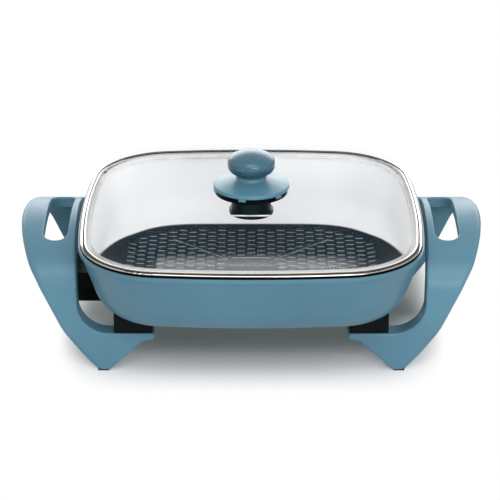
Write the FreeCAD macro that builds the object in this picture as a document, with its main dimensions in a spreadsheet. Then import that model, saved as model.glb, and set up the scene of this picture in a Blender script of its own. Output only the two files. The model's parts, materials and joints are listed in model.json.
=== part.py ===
import FreeCAD, Part
import math
import os
from types import SimpleNamespace

from FreeCAD import Placement, Rotation, Vector

# A square electric skillet with a glass lid and a plug-in heat control.
# X runs along the two handles, the front is -Y, +Z is up.
# The origin is on the table, under the middle of the pan. Lengths are millimetres, angles degrees.

SIZES = {
    # pan casting
    "wall_half_width": 152.4,
    "rim_side_radius": 832.0,
    "rim_corner_radius": 74.0,
    "ledge_height": 115.9,
    "ledge_width": 4.8,
    "lip_rise": 2.2,
    "lip_drop": 1.4,
    "lip_proud": 1.4,
    "lip_round": 0.6,
    "pan_depth": 58.5,
    "wall_draft": 18.3,
    "cove_radius": 34.0,
    "inner_cove_radius": 30.0,
    "floor_thickness": 5.0,
    "boss_radius": 6.0,
    "boss_height": 5.0,
    # heating element and its cast rail
    "element_drop": 7.0,
    "element_radius": 4.0,
    "element_inset": 79.4,
    "element_corner_radius": 25.0,
    "element_entry_radius": 12.0,
    "terminal_inset": 60.4,
    "rail_width": 13.0,
    "terminal_spread": 26.0,
    "pin_radius": 2.4,
    "pin_length": 30.0,
    "bush_radius": 5.0,
    "bush_length": 6.0,
    "well_radius": 6.2,
    "well_inset": 68.4,
    "well_length": 34.0,
    # lid
    "seat_gap": 0.3,
    "lid_edge_gap": 0.4,
    "band_height": 5.2,
    "band_sheet": 0.8,
    "band_flange": 5.0,
    "band_foot": 4.0,
    "band_round": 1.6,
    "band_seam": 0.5,
    "band_seam_place": 39.0,
    "glass_thickness": 3.4,
    "glass_play": 0.1,
    "glass_edge_gap": 0.3,
    "shoulder_inset": 6.0,
    "shoulder_radius": 7.0,
    "dome_height": 20.3,
    "dome_fall": 11.85,
    "glass_hole_radius": 5.6,
    "steam_hole_radius": 1.6,
    "steam_hole_ring": 13.0,
    # knob and steam vent
    "washer_thickness": 0.6,
    "washer_radius": 10.0,
    "vent_radius": 32.6,
    "vent_height": 4.8,
    "vent_wall": 2.2,
    "vent_floor": 1.4,
    "window_width": 6.0,
    "window_height": 2.2,
    "hub_radius": 5.2,
    "hub_wall": 2.6,
    "skirt_radius": 34.2,
    "skirt_edge": 3.0,
    "skirt_height": 8.0,
    "skirt_wall": 2.2,
    "tab_width": 6.4,
    "tab_drop": 2.4,
    "tab_thickness": 1.2,
    "tab_start": -104.0,
    "tab_count": 6,
    "neck_radius": 13.6,
    "neck_height": 3.2,
    "grip_radius": 21.2,
    "grip_lower_height": 12.0,
    "grip_upper_height": 10.4,
    "cap_bend": 7.0,
    "grip_lower_bend": 7.0,
    "grip_lower_rise": 5.5,
    "grip_seam_drop": 2.0,
    "seat_radius": 17.9,
    "seat_height": 11.0,
    "seat_foot_radius": 20.0,
    "seat_foot_height": 4.2,
    "knob_screw_radius": 2.5,
    "knob_screw_head_radius": 5.0,
    "knob_screw_head_height": 3.0,
    "screw_head_round": 0.4,
    "insert_radius": 4.6,
    "insert_height": 8.0,
    # handles with their legs
    "handle_overhang": 58.2,
    "handle_gap": 3.3,
    "leg_lean": 4.6,
    "leg_tuck": 67.8,
    "handle_rise": 4.6,
    "leg_spread": 172.0,
    "leg_thickness": 16.5,
    "arch_radius": 150.0,
    "shoulder_bend": 30.0,
    "bar_depth": 9.5,
    "arch_corner": 14.0,
    "grip_rim": 28.0,
    "slot_width": 21.4,
    "slot_length": 100.0,
    "slot_corner": 10.0,
    "outer_edge_round": 5.0,
    "inner_edge_round": 2.0,
    "slot_edge_round": 2.0,
    "foot_pad_thickness": 1.6,
    "foot_pad_inset": 0.6,
    # heat-resistant spacers between pan and legs
    "spacer_start": 2.0,
    "spacer_length": 34.4,
    "spacer_inset": 0.8,
    "spacer_corner": 2.0,
    "leg_screw_start": 7.9,
    "leg_screw_radius": 2.4,
    "leg_screw_reach": 4.0,
    "leg_screw_head_radius": 4.2,
    "leg_screw_head_height": 3.0,
    "leg_screw_sink": 3.2,
    "fastener_play": 0.08,
    "clearance_hole": 0.4,
    # guard round the terminals
    "guard_inset": 20.4,
    "guard_length": 38.0,
    "guard_half_width": 24.0,
    "guard_wall": 1.2,
    "guard_depth": 14.6,
    "guard_screw_start": 6.0,
    "guard_screw_spread": 38.4,
    "guard_screw_radius": 1.5,
    "guard_screw_head_radius": 2.6,
    "guard_screw_head_height": 1.8,
    "guard_screw_reach": 3.6,
    # plug-in heat control
    "case_gap": 2.0,
    "case_length": 57.0,
    "case_half_width": 26.0,
    "case_drop": 9.0,
    "lower_case_height": 16.0,
    "upper_case_height": 12.0,
    "case_wall": 2.0,
    "case_end_radius": 20.0,
    "case_corner": 3.0,
    "case_edge_round": 1.6,
    "groove_count": 5,
    "groove_pitch": 2.6,
    "groove_height": 1.0,
    "groove_depth": 0.7,
    "groove_length": 26.0,
    "block_half_width": 21.6,
    "block_height": 10.6,
    "block_tail": 12.0,
    "block_nose": 22.0,
    "socket_radius": 3.6,
    "socket_length": 14.0,
    "probe_radius": 3.4,
    "probe_reach": 54.0,
    "probe_tail": 6.0,
    "thermostat_length": 18.0,
    "thermostat_width": 22.0,
    "thermostat_height": 14.0,
    "dial_start": 17.0,
    "dial_radius": 14.6,
    "dial_height": 9.0,
    "dial_step": 2.0,
    "dial_round": 1.2,
    "dial_flute_radius": 1.1,
    "dial_flutes": 18,
    "spindle_radius": 3.0,
    "spindle_play": 0.06,
    "lens_radius": 2.8,
    "lens_thickness": 2.6,
    "lens_rise": 9.0,
    "lamp_radius": 2.2,
    "lamp_length": 8.0,
    "gland_start": 31.0,
    "gland_radius": 4.6,
    "gland_flange": 6.2,
    "gland_flange_length": 2.0,
    "gland_length": 16.0,
    "gland_bore": 3.3,
    "case_screw_radius": 1.4,
    "case_screw_head_radius": 2.7,
    "case_screw_head_height": 1.2,
    "case_screw_length": 10.0,
    "case_post_radius": 3.2,
    "inner_post_start": 15.5,
    "inner_post_spread": 39.0,
    "outer_post_start": 11.0,
    "outer_post_spread": 32.0,
    # one overrun for every cut
    "overrun": 2.0,
}

doc = FreeCAD.newDocument("electric_skillet")
sheet = doc.addObject("Spreadsheet::Sheet", "Sizes")
for row, (name, value) in enumerate(SIZES.items(), 1):
    sheet.set(f"A{row}", name)
    sheet.set(f"B{row}", str(value))
    sheet.setAlias(f"B{row}", name)
doc.recompute()
mm = SimpleNamespace(**{name: float(sheet.get(name)) for name in SIZES})

UP = Vector(0, 0, 1)
LEFT, RIGHT = -1, 1
FRONT, REAR = -1, 1
FULL_TURN = 360

# Levels above the table that several pieces share
wall_top = mm.ledge_height - mm.lip_drop
pan_bottom = wall_top - mm.pan_depth
element_level = pan_bottom - mm.element_drop
band_bottom = mm.ledge_height + mm.seat_gap
glass_bottom = band_bottom + mm.band_sheet + mm.glass_play
glass_top = band_bottom + mm.dome_height
glass_under = glass_top - mm.glass_thickness
vent_bottom = glass_top + mm.washer_thickness
vent_top = vent_bottom + mm.vent_height
skirt_bottom = vent_top + mm.seat_gap
skirt_top = skirt_bottom + mm.skirt_height
grip_bottom = skirt_top + mm.neck_height
grip_waist = grip_bottom + mm.grip_lower_height
grip_top = grip_waist + mm.grip_upper_height
handle_crest = mm.ledge_height + mm.handle_rise
leg_middle = mm.leg_spread / 2 - mm.leg_thickness / 2
case_bottom = element_level - mm.case_drop
case_split = case_bottom + mm.lower_case_height
case_top = case_split + mm.upper_case_height

# Places along the handles' direction that follow the pan's rim outwards
lip_half = mm.wall_half_width + mm.lip_proud
handle_reach = lip_half + mm.handle_overhang
handle_tip = mm.wall_half_width - mm.leg_tuck
tip_span = handle_reach - handle_tip
handle_inner = lip_half + mm.handle_gap
leg_inner = handle_inner - mm.leg_lean
slot_outer = handle_reach - mm.grip_rim
slot_inner = slot_outer - mm.slot_width
spacer_inner = handle_tip + mm.spacer_start
spacer_outer = spacer_inner + mm.spacer_length
leg_screw_place = handle_tip + mm.leg_screw_start
element_half_span = mm.wall_half_width - mm.element_inset
element_end = mm.wall_half_width - mm.terminal_inset
guard_outer = mm.wall_half_width - mm.guard_inset
guard_inner = guard_outer - mm.guard_length
guard_screw_place = guard_inner + mm.guard_screw_start
case_inner = guard_outer + mm.case_gap
case_outer = case_inner + mm.case_length
dial_place = case_outer - mm.dial_start
gland_place = case_outer - mm.gland_start
inner_post_place = case_inner + mm.inner_post_start
outer_post_place = case_outer - mm.outer_post_start

# The same places where a feature's own expression needs them
HANDLE_SPAN = "2 * (Sizes.wall_half_width + Sizes.lip_proud + Sizes.handle_overhang + Sizes.overrun)"
CREST_LIFT = "(Sizes.ledge_height + Sizes.handle_rise)"
ELEMENT_START = "Sizes.terminal_inset - Sizes.wall_half_width"
WELL_START = "Sizes.well_inset - Sizes.wall_half_width"
CASE_INNER_END = "Sizes.guard_inset - Sizes.wall_half_width - Sizes.case_gap"
CASE_OUTER_END = CASE_INNER_END + " - Sizes.case_length"

# The dome's wide sphere falls by a named amount from its top to the rim's corners
dome_reach = math.sqrt(2) * mm.wall_half_width
dome_radius = (dome_reach ** 2 + mm.dome_fall ** 2) / (2 * mm.dome_fall)
inner_dome_radius = dome_radius - mm.glass_thickness
washer_fall = inner_dome_radius - math.sqrt(inner_dome_radius ** 2 - mm.washer_radius ** 2)
glass_seat = glass_under - washer_fall
seat_top = glass_seat - mm.washer_thickness
seat_bottom = seat_top - mm.seat_height
seat_foot_bottom = seat_bottom - mm.seat_foot_height

# The handle's outline seen from the front, from the top outer corner down to the foot and
# back in to the leg's tip. Each point is a share of the span from tip to reach, a share of
# the crest's height, and the bend there as a share of the crest's height. The inside then
# goes up beside the pan: there a point has only its height's share and its bend's share.
outer_outline_shares = (
    (1.000, 1.020, 0),
    (0.812, 0.708, 0.55),
    (0.640, 0.308, 0.60),
    (0.500, 0.112, 0.40),
    (0.402, 0.000, 0),
    (0.326, 0.000, 0),
    (0.085, 0.240, 0.060),
    (0.006, 0.248, 0.024),
    (0.000, 0.303, 0.020),
)
inner_outline_shares = ((0.303, 0.230), (0.800, 0.500), (1.020, 0))
PLATE_TOP_SHARE = outer_outline_shares[8][1]
TIP_BOTTOM_SHARE = outer_outline_shares[7][1]
tip_bottom = handle_crest * TIP_BOTTOM_SHARE
foot_outer = handle_tip + tip_span * outer_outline_shares[4][0]
foot_inner = handle_tip + tip_span * outer_outline_shares[5][0]


# Drawing helpers

def rounded(points, closed=True):
    """Straight runs joined by tangent arcs. A point is (x, y) or (x, y, bend radius)."""
    corners = [(Vector(p[0], p[1], 0), p[2] if len(p) > 2 else 0) for p in points]
    ends = []
    for index, (corner, radius) in enumerate(corners):
        at_end = not closed and index in (0, len(corners) - 1)
        if radius == 0 or at_end:
            ends.append((corner, None, corner))
            continue
        back = (corners[index - 1][0] - corner).normalize()
        ahead = (corners[(index + 1) % len(corners)][0] - corner).normalize()
        half_angle = back.getAngle(ahead) / 2
        reach = radius / math.tan(half_angle)
        middle = (back + ahead).normalize()
        crown = corner + middle * (radius / math.sin(half_angle) - radius)
        ends.append((corner + back * reach, crown, corner + ahead * reach))
    edges = []
    for index, (start, crown, finish) in enumerate(ends):
        if crown is not None:
            edges.append(Part.Arc(start, crown, finish))
        if closed or index + 1 < len(ends):
            edges.append(Part.LineSegment(finish, ends[(index + 1) % len(ends)][0]))
    return edges


def rectangle(low_x, high_x, low_y, high_y, corner=0):
    return rounded([(low_x, low_y, corner), (high_x, low_y, corner),
                    (high_x, high_y, corner), (low_x, high_y, corner)])


def circle(radius, x=0, y=0):
    return [Part.Circle(Vector(x, y, 0), UP, radius)]


def rim_outline(inset):
    """Four shallow side arcs and four corner arcs, tangent, moved inwards by the inset."""
    side_radius = mm.rim_side_radius
    side_centre = mm.wall_half_width - side_radius
    apart = side_radius - mm.rim_corner_radius
    corner_centre = (side_centre + math.sqrt(2 * apart ** 2 - side_centre ** 2)) / 2
    side_turn = math.atan2(corner_centre, corner_centre - side_centre)
    quarter_turn = math.pi / 2
    arcs = []
    for quarter in range(4):
        turned = quarter * quarter_turn
        spin = Rotation(UP, math.degrees(turned))
        side = Part.Circle(spin.multVec(Vector(side_centre, 0, 0)), UP, side_radius - inset)
        arcs.append(Part.ArcOfCircle(side, turned - side_turn, turned + side_turn))
        middle = spin.multVec(Vector(corner_centre, corner_centre, 0))
        corner = Part.Circle(middle, UP, mm.rim_corner_radius - inset)
        arcs.append(Part.ArcOfCircle(corner, turned + side_turn, turned + quarter_turn - side_turn))
    return arcs


def new_body(label):
    body = doc.addObject("PartDesign::Body", label)
    body.Label = label
    return body


def sketch(body, name, role, geometry, lift="0"):
    """A sketch on one of the body's own planes, raised along the plane's normal."""
    drawing = body.newObject("Sketcher::SketchObject", name)
    plane = next(item for item in body.Origin.OriginFeatures if item.Role == role)
    drawing.AttachmentSupport = (plane, [""])
    drawing.MapMode = "FlatFace"
    drawing.addGeometry(geometry, False)
    drawing.setExpression(".AttachmentOffset.Base.z", lift)
    return drawing


def feature(body, kind, profile, name):
    item = body.newObject("PartDesign::" + kind, name)
    item.Profile = profile
    return item


def pad(body, name, role, geometry, length, lift="0", down=False, both_ways=False, draft=None):
    drawing = sketch(body, name + "_sketch", role, geometry, lift)
    item = feature(body, "Pad", drawing, name)
    item.setExpression("Length", length)
    item.Reversed = down
    item.Midplane = both_ways
    if draft:
        item.setExpression("TaperAngle", draft)
    doc.recompute()
    return item


def pocket(body, name, role, geometry, length, lift="0", up=False, both_ways=False):
    """Cuts into the body and makes sure that something was cut."""
    before = body.Shape.Volume
    drawing = sketch(body, name + "_sketch", role, geometry, lift)
    item = feature(body, "Pocket", drawing, name)
    item.setExpression("Length", length)
    item.Reversed = up
    item.Midplane = both_ways
    doc.recompute()
    if not body.Shape.Volume < before:
        raise ValueError(name + " cuts nothing")
    return item


def revolve(body, name, geometry, groove=False):
    """Turns a profile of (radius, height) about the Z axis."""
    drawing = sketch(body, name + "_sketch", "XZ_Plane", geometry)
    item = feature(body, "Groove" if groove else "Revolution", drawing, name)
    item.ReferenceAxis = (drawing, ["V_Axis"])
    item.Angle = FULL_TURN
    doc.recompute()
    return item


def turned_piece(label, points, place=None):
    """A turned solid: points are (radius, height) pairs from the axis round to the axis."""
    body = new_body(label)
    revolve(body, label + "_turned", rounded(points))
    if place is not None:
        body.Placement = place
    return body


def round_edges(body, name, radius, wanted):
    """Rounds every edge of the body whose middle passes the test."""
    base = body.Tip
    names = []
    for number, edge in enumerate(base.Shape.Edges, 1):
        middle = edge.valueAt((edge.FirstParameter + edge.LastParameter) / 2)
        if wanted(middle, edge):
            names.append(f"Edge{number}")
    item = body.newObject("PartDesign::Fillet", name)
    item.Base = (base, names)
    item.setExpression("Radius", radius)
    doc.recompute()
    return item


def box(name, low, high):
    item = doc.addObject("Part::Box", name)
    item.Length, item.Width, item.Height = high[0] - low[0], high[1] - low[1], high[2] - low[2]
    item.Placement = Placement(Vector(*low), Rotation())
    return item


def rod(name, radius, length, start, direction):
    """A plain cylinder from a start point along a direction; the radius is a sheet entry."""
    item = doc.addObject("Part::Cylinder", name)
    item.setExpression("Radius", radius)
    item.Height = length
    item.Placement = Placement(Vector(*start), Rotation(UP, direction))
    return item


def joined(label, pieces):
    item = doc.addObject("Part::MultiFuse", label)
    item.Label = label
    item.Shapes = pieces
    return item


def group(label, pieces):
    """Separate solids that share one node."""
    item = doc.addObject("Part::Compound", label)
    item.Label = label
    item.Links = pieces
    return item


def cut(label, base, tool):
    item = doc.addObject("Part::Cut", label)
    item.Label = label
    item.Base = base
    item.Tool = tool
    return item


def near(value, target):
    return abs(value - target) < mm.fastener_play


def level_edges(height):
    """Picks the edges that lie flat at one height."""
    def test(middle, edge):
        box_of_edge = edge.BoundBox
        return near(middle.z, height) and box_of_edge.ZLength < mm.fastener_play
    return test


# Pan casting

def tub(label, inset, top, depth, cove):
    """A block with the rim's outline, drafted walls and a rounded bottom edge."""
    body = new_body(label)
    pad(body, label + "_walls", "XY_Plane", rim_outline(inset), depth, top,
        down=True, draft="-Sizes.wall_draft")
    bottom = body.Shape.BoundBox.ZMin
    round_edges(body, label + "_cove", cove, level_edges(bottom))
    return body


def element_path():
    """The element's line in plan: in at one terminal, round the pan and out at the other."""
    near_y = mm.terminal_spread / 2
    far = element_half_span
    entry = mm.element_entry_radius
    bend = mm.element_corner_radius
    return rounded([(-element_end, -near_y), (-far, -near_y, entry), (-far, -far, bend),
                    (far, -far, bend), (far, far, bend), (-far, far, bend),
                    (-far, near_y, entry), (-element_end, near_y)], closed=False)


def swept(body, name, kind, profile, lift, start_lift):
    """A section drawn across the element's start and carried along its path."""
    spine = sketch(body, name + "_path", "XY_Plane", element_path(), lift)
    section = sketch(body, name + "_section", "YZ_Plane", profile, start_lift)
    item = feature(body, kind, section, name)
    item.Spine = (spine, [])
    doc.recompute()
    return item


ELEMENT_LIFT = "Sizes.ledge_height - Sizes.lip_drop - Sizes.pan_depth - Sizes.element_drop"
PAN_BOTTOM_LIFT = "Sizes.ledge_height - Sizes.lip_drop - Sizes.pan_depth"


def make_pan():
    outside = tub("pan_outside", 0, "Sizes.ledge_height - Sizes.lip_drop",
                  "Sizes.pan_depth", "Sizes.cove_radius")
    pad(outside, "lip", "XY_Plane", rim_outline(-mm.lip_proud), "Sizes.lip_rise + Sizes.lip_drop",
        "Sizes.ledge_height - Sizes.lip_drop")
    round_edges(outside, "lip_edges", "Sizes.lip_round",
                lambda middle, edge: max(abs(middle.x), abs(middle.y)) > mm.wall_half_width / 2
                and middle.z > wall_top - mm.fastener_play and edge.BoundBox.ZLength < mm.fastener_play
                and not near(middle.z, wall_top))
    rail_low = element_level - mm.rail_width / 2
    rail = rounded([(-mm.terminal_spread / 2 - mm.rail_width / 2, pan_bottom + mm.overrun),
                    (-mm.terminal_spread / 2 - mm.rail_width / 2, rail_low, mm.rail_width / 4),
                    (-mm.terminal_spread / 2 + mm.rail_width / 2, rail_low, mm.rail_width / 4),
                    (-mm.terminal_spread / 2 + mm.rail_width / 2, pan_bottom + mm.overrun)])
    swept(outside, "element_rail", "AdditivePipe", rail, ELEMENT_LIFT, ELEMENT_START)
    well = circle(mm.well_radius, 0, element_level)
    pad(outside, "probe_well", "YZ_Plane", well, "Sizes.well_length", WELL_START)
    web = rectangle(-mm.well_radius, mm.well_radius, element_level, pan_bottom + mm.overrun)
    pad(outside, "probe_well_web", "YZ_Plane", web, "Sizes.well_length", WELL_START)
    bosses = []
    for side in (LEFT, RIGHT):
        for end in (FRONT, REAR):
            bosses += circle(mm.boss_radius, side * leg_screw_place, end * leg_middle)
    pad(outside, "screw_bosses", "XY_Plane", bosses, "Sizes.boss_height + Sizes.overrun",
        PAN_BOTTOM_LIFT + " + Sizes.overrun", down=True)
    bore = circle(mm.element_radius + mm.fastener_play, -mm.terminal_spread / 2, element_level)
    swept(outside, "element_bore", "SubtractivePipe", bore, ELEMENT_LIFT, ELEMENT_START)
    pocket(outside, "probe_bore", "YZ_Plane",
           circle(mm.probe_radius + mm.clearance_hole, 0, element_level),
           "Sizes.well_length - Sizes.overrun", WELL_START, up=True)
    holes = []
    for side in (LEFT, RIGHT):
        for end in (FRONT, REAR):
            holes += circle(mm.leg_screw_radius + mm.fastener_play,
                            side * leg_screw_place, end * leg_middle)
    pocket(outside, "boss_holes", "XY_Plane", holes, "Sizes.boss_height + Sizes.leg_screw_reach",
           PAN_BOTTOM_LIFT + " - Sizes.boss_height", up=True)
    guard_holes = []
    for end in (FRONT, REAR):
        guard_holes += circle(mm.guard_screw_radius + mm.fastener_play, -guard_screw_place,
                              end * mm.guard_screw_spread / 2)
    pocket(outside, "guard_holes", "XY_Plane", guard_holes,
           "Sizes.guard_screw_reach + Sizes.fastener_play", PAN_BOTTOM_LIFT, up=True)
    cavity = tub("pan_cavity", mm.ledge_width, "Sizes.ledge_height",
                 "Sizes.pan_depth + Sizes.lip_drop - Sizes.floor_thickness",
                 "Sizes.inner_cove_radius")
    pad(cavity, "lid_recess", "XY_Plane", rim_outline(0), "Sizes.lip_rise + Sizes.overrun",
        "Sizes.ledge_height")
    return cut("pan", outside, cavity)


def make_element():
    body = new_body("heating_element")
    section = circle(mm.element_radius, -mm.terminal_spread / 2, element_level)
    swept(body, "element_tube", "AdditivePipe", section, ELEMENT_LIFT, ELEMENT_START)
    return body


def terminal_places():
    return [(-element_end, end * mm.terminal_spread / 2, element_level) for end in (FRONT, REAR)]


def make_terminals():
    """Two contact pins, each held in a ceramic bush at the element's end."""
    pins = []
    bushes = []
    for number, place in enumerate(terminal_places()):
        pin = rod(f"pin_{number}", "Sizes.pin_radius", mm.pin_length, place, Vector(-1, 0, 0))
        pins.append(pin)
        body = rod(f"bush_body_{number}", "Sizes.bush_radius", mm.bush_length, place, Vector(-1, 0, 0))
        hole = rod(f"bush_hole_{number}", "Sizes.pin_radius + Sizes.fastener_play", mm.bush_length,
                   place, Vector(-1, 0, 0))
        bushes.append(cut(f"bush_{number}", body, hole))
    return [group("terminal_pins", pins), group("terminal_bushes", bushes)]


def make_guard():
    """A sheet-metal shroud under the pan's edge that the heat control plugs into."""
    low = pan_bottom - mm.guard_depth
    outer = box("guard_block", (-guard_outer, -mm.guard_half_width, low),
                (-guard_inner, mm.guard_half_width, pan_bottom))
    wall = mm.guard_wall
    inner = box("guard_hollow", (-guard_outer - mm.overrun, wall - mm.guard_half_width, low + wall),
                (-guard_inner + mm.overrun, mm.guard_half_width - wall, pan_bottom - wall))
    tools = [inner]
    for end in (FRONT, REAR):
        tools.append(rod(f"guard_hole_{end}", "Sizes.guard_screw_radius + Sizes.clearance_hole",
                         wall + mm.overrun,
                         (-guard_screw_place, end * mm.guard_screw_spread / 2,
                          pan_bottom - wall - mm.overrun / 2), UP))
    return cut("probe_guard", outer, joined("guard_tools", tools))


def screw(label, radius, head_radius, head_height, length, place):
    """A pan-head screw, head down, with its shank along +Z from the place given."""
    return turned_piece(label, [(0, -head_height), (head_radius, -head_height, mm.screw_head_round),
                                (head_radius, 0), (radius, 0), (radius, length), (0, length)],
                        Placement(Vector(*place), Rotation()))


def make_guard_screws():
    screws = []
    for end in (FRONT, REAR):
        place = (-guard_screw_place, end * mm.guard_screw_spread / 2, pan_bottom - mm.guard_wall)
        screws.append(screw(f"guard_screw_{end}", mm.guard_screw_radius, mm.guard_screw_head_radius,
                            mm.guard_screw_head_height, mm.guard_wall + mm.guard_screw_reach, place))
    return group("guard_screws", screws)


# Handles, legs, spacers and feet

def handle_outline(side):
    points = []
    for across, up, bend in outer_outline_shares:
        points.append((side * (handle_tip + tip_span * across), handle_crest * up, handle_crest * bend))
    for (up, bend), place in zip(inner_outline_shares, (leg_inner, leg_inner, handle_inner)):
        points.append((side * place, handle_crest * up, handle_crest * bend))
    return rounded(points)


def arch_line(half, bend, radius):
    """An arch in the YZ plane: a shallow arc round the handle's own centre, with a rounded
    shoulder at each side. Returns its arcs from right to left and the shoulders' level."""
    centre_z = handle_crest - mm.arch_radius
    shoulder_y = half - bend
    rise = math.sqrt((radius - bend) ** 2 - shoulder_y ** 2)
    shoulder_z = centre_z + rise
    lean = math.atan2(rise, shoulder_y)
    straight = math.pi
    right = Part.ArcOfCircle(Part.Circle(Vector(shoulder_y, shoulder_z, 0), UP, bend), 0, lean)
    top = Part.ArcOfCircle(Part.Circle(Vector(0, centre_z, 0), UP, radius), lean, straight - lean)
    left = Part.ArcOfCircle(Part.Circle(Vector(-shoulder_y, shoulder_z, 0), UP, bend),
                            straight - lean, straight)
    return [right, top, left], shoulder_z


def arch_region(half, bend, radius, outside, level):
    """The region between an arch and a level line, closed by straight runs out to a width."""
    arcs, shoulder_z = arch_line(half, bend, radius)
    corners = [Vector(half, shoulder_z, 0), Vector(outside, shoulder_z, 0),
               Vector(outside, level, 0), Vector(-outside, level, 0),
               Vector(-outside, shoulder_z, 0), Vector(-half, shoulder_z, 0)]
    runs = [(a, b) for a, b in zip(corners, corners[1:]) if a != b]
    return arcs + [Part.LineSegment(a, b) for a, b in runs]


def make_handle(label, side):
    """Grip bar, slot and two legs in one moulding, arched over from front leg to rear leg."""
    body = new_body(label)
    pad(body, label + "_plate", "XZ_Plane", handle_outline(side), "Sizes.leg_spread", both_ways=True)
    half = mm.leg_spread / 2
    above = arch_region(half, mm.shoulder_bend, mm.arch_radius, half + mm.overrun,
                        handle_crest + mm.shoulder_bend)
    pocket(body, label + "_arch", "YZ_Plane", above, HANDLE_SPAN, both_ways=True)
    gap = half - mm.leg_thickness
    between = arch_region(gap, mm.arch_corner, mm.arch_radius - mm.bar_depth, gap, -mm.overrun)
    pocket(body, label + "_between_legs", "YZ_Plane", between, HANDLE_SPAN, both_ways=True)
    slot_near, slot_far = sorted((side * slot_inner, side * slot_outer))
    slot = rectangle(slot_near, slot_far, -mm.slot_length / 2, mm.slot_length / 2, mm.slot_corner)
    pocket(body, label + "_slot", "XY_Plane", slot, CREST_LIFT, CREST_LIFT)
    round_edges(body, label + "_outer_edges", "Sizes.outer_edge_round",
                lambda middle, edge: near(middle.y, 0) and near(middle.z, handle_crest)
                and abs(middle.x) > slot_outer + mm.overrun)
    round_edges(body, label + "_inner_edges", "Sizes.inner_edge_round",
                lambda middle, edge: near(middle.y, 0) and near(middle.z, handle_crest)
                and abs(middle.x) < slot_inner - mm.overrun)
    round_edges(body, label + "_slot_edges", "Sizes.slot_edge_round",
                lambda middle, edge: near(abs(middle.x), slot_outer)
                and middle.z > handle_crest - mm.bar_depth / 2)
    foot_sides = sorted((side * (foot_inner - mm.overrun), side * (foot_outer + mm.overrun)))
    feet = rectangle(*foot_sides, -mm.leg_spread / 2 - mm.overrun, mm.leg_spread / 2 + mm.overrun)
    pocket(body, label + "_foot_step", "XY_Plane", feet, "Sizes.foot_pad_thickness", up=True)
    sinks = []
    holes = []
    for end in (FRONT, REAR):
        place = (side * leg_screw_place, end * leg_middle)
        sinks += circle(mm.leg_screw_head_radius + mm.clearance_hole, *place)
        holes += circle(mm.leg_screw_radius + mm.clearance_hole, *place)
    pocket(body, label + "_screw_sinks", "XY_Plane", sinks,
           f"Sizes.leg_screw_sink + {CREST_LIFT} * {TIP_BOTTOM_SHARE}", up=True)
    pocket(body, label + "_screw_holes", "XY_Plane", holes, CREST_LIFT, up=True)
    return body


def foot_area(side, end):
    """The foot's underside as low and high corners in plan."""
    low_x, high_x = sorted((side * foot_inner, side * foot_outer))
    half = mm.leg_thickness / 2 - mm.foot_pad_inset
    return low_x, high_x, end * leg_middle - half, end * leg_middle + half


def make_foot_pads():
    pads = []
    for side in (LEFT, RIGHT):
        for end in (FRONT, REAR):
            low_x, high_x, low_y, high_y = foot_area(side, end)
            pads.append(box(f"foot_pad_{side}_{end}", (low_x, low_y, 0),
                            (high_x, high_y, mm.foot_pad_thickness)))
    return group("foot_pads", pads)


def make_spacer(label, side, end, envelope):
    """A black heat-resistant block on the leg's plate, shaped to the pan's underside."""
    block = new_body(label + "_block")
    near_x, far_x = sorted((side * spacer_inner, side * spacer_outer))
    half = mm.leg_thickness / 2 - mm.spacer_inset
    middle_y = end * leg_middle
    plan = rectangle(near_x, far_x, middle_y - half, middle_y + half, mm.spacer_corner)
    pad(block, label + "_pad", "XY_Plane", plan,
        f"{PAN_BOTTOM_LIFT} + Sizes.cove_radius - {CREST_LIFT} * {PLATE_TOP_SHARE}",
        f"{CREST_LIFT} * {PLATE_TOP_SHARE}")
    pocket(block, label + "_boss_sink", "XY_Plane",
           circle(mm.boss_radius + mm.clearance_hole, side * leg_screw_place, middle_y),
           "Sizes.cove_radius", f"{PAN_BOTTOM_LIFT} - Sizes.boss_height - Sizes.fastener_play", up=True)
    pocket(block, label + "_screw_hole", "XY_Plane",
           circle(mm.leg_screw_radius + mm.clearance_hole, side * leg_screw_place, middle_y),
           CREST_LIFT, up=True)
    return cut(label, block, envelope)


def make_spacers():
    envelope = tub("pan_envelope", 0, "Sizes.ledge_height - Sizes.lip_drop",
                   "Sizes.pan_depth", "Sizes.cove_radius")
    envelope.Placement = Placement(Vector(0, 0, -mm.fastener_play), Rotation())
    names = {(LEFT, FRONT): "left_front_spacer", (LEFT, REAR): "left_rear_spacer",
             (RIGHT, FRONT): "right_front_spacer", (RIGHT, REAR): "right_rear_spacer"}
    return [make_spacer(label, side, end, envelope) for (side, end), label in names.items()]


def make_leg_screws():
    """One long screw a corner, from under the leg's plate up into the pan's boss."""
    seat = tip_bottom + mm.leg_screw_sink
    length = pan_bottom + mm.leg_screw_reach - mm.fastener_play - seat
    screws = []
    for side in (LEFT, RIGHT):
        for end in (FRONT, REAR):
            screws.append(screw(f"leg_screw_{side}_{end}", mm.leg_screw_radius,
                                mm.leg_screw_head_radius, mm.leg_screw_head_height, length,
                                (side * leg_screw_place, end * leg_middle, seat)))
    return group("leg_screws", screws)


# Lid

BAND_LIFT = "Sizes.ledge_height + Sizes.seat_gap"
GLASS_LIFT = BAND_LIFT + " + Sizes.band_sheet + Sizes.glass_play"


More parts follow.
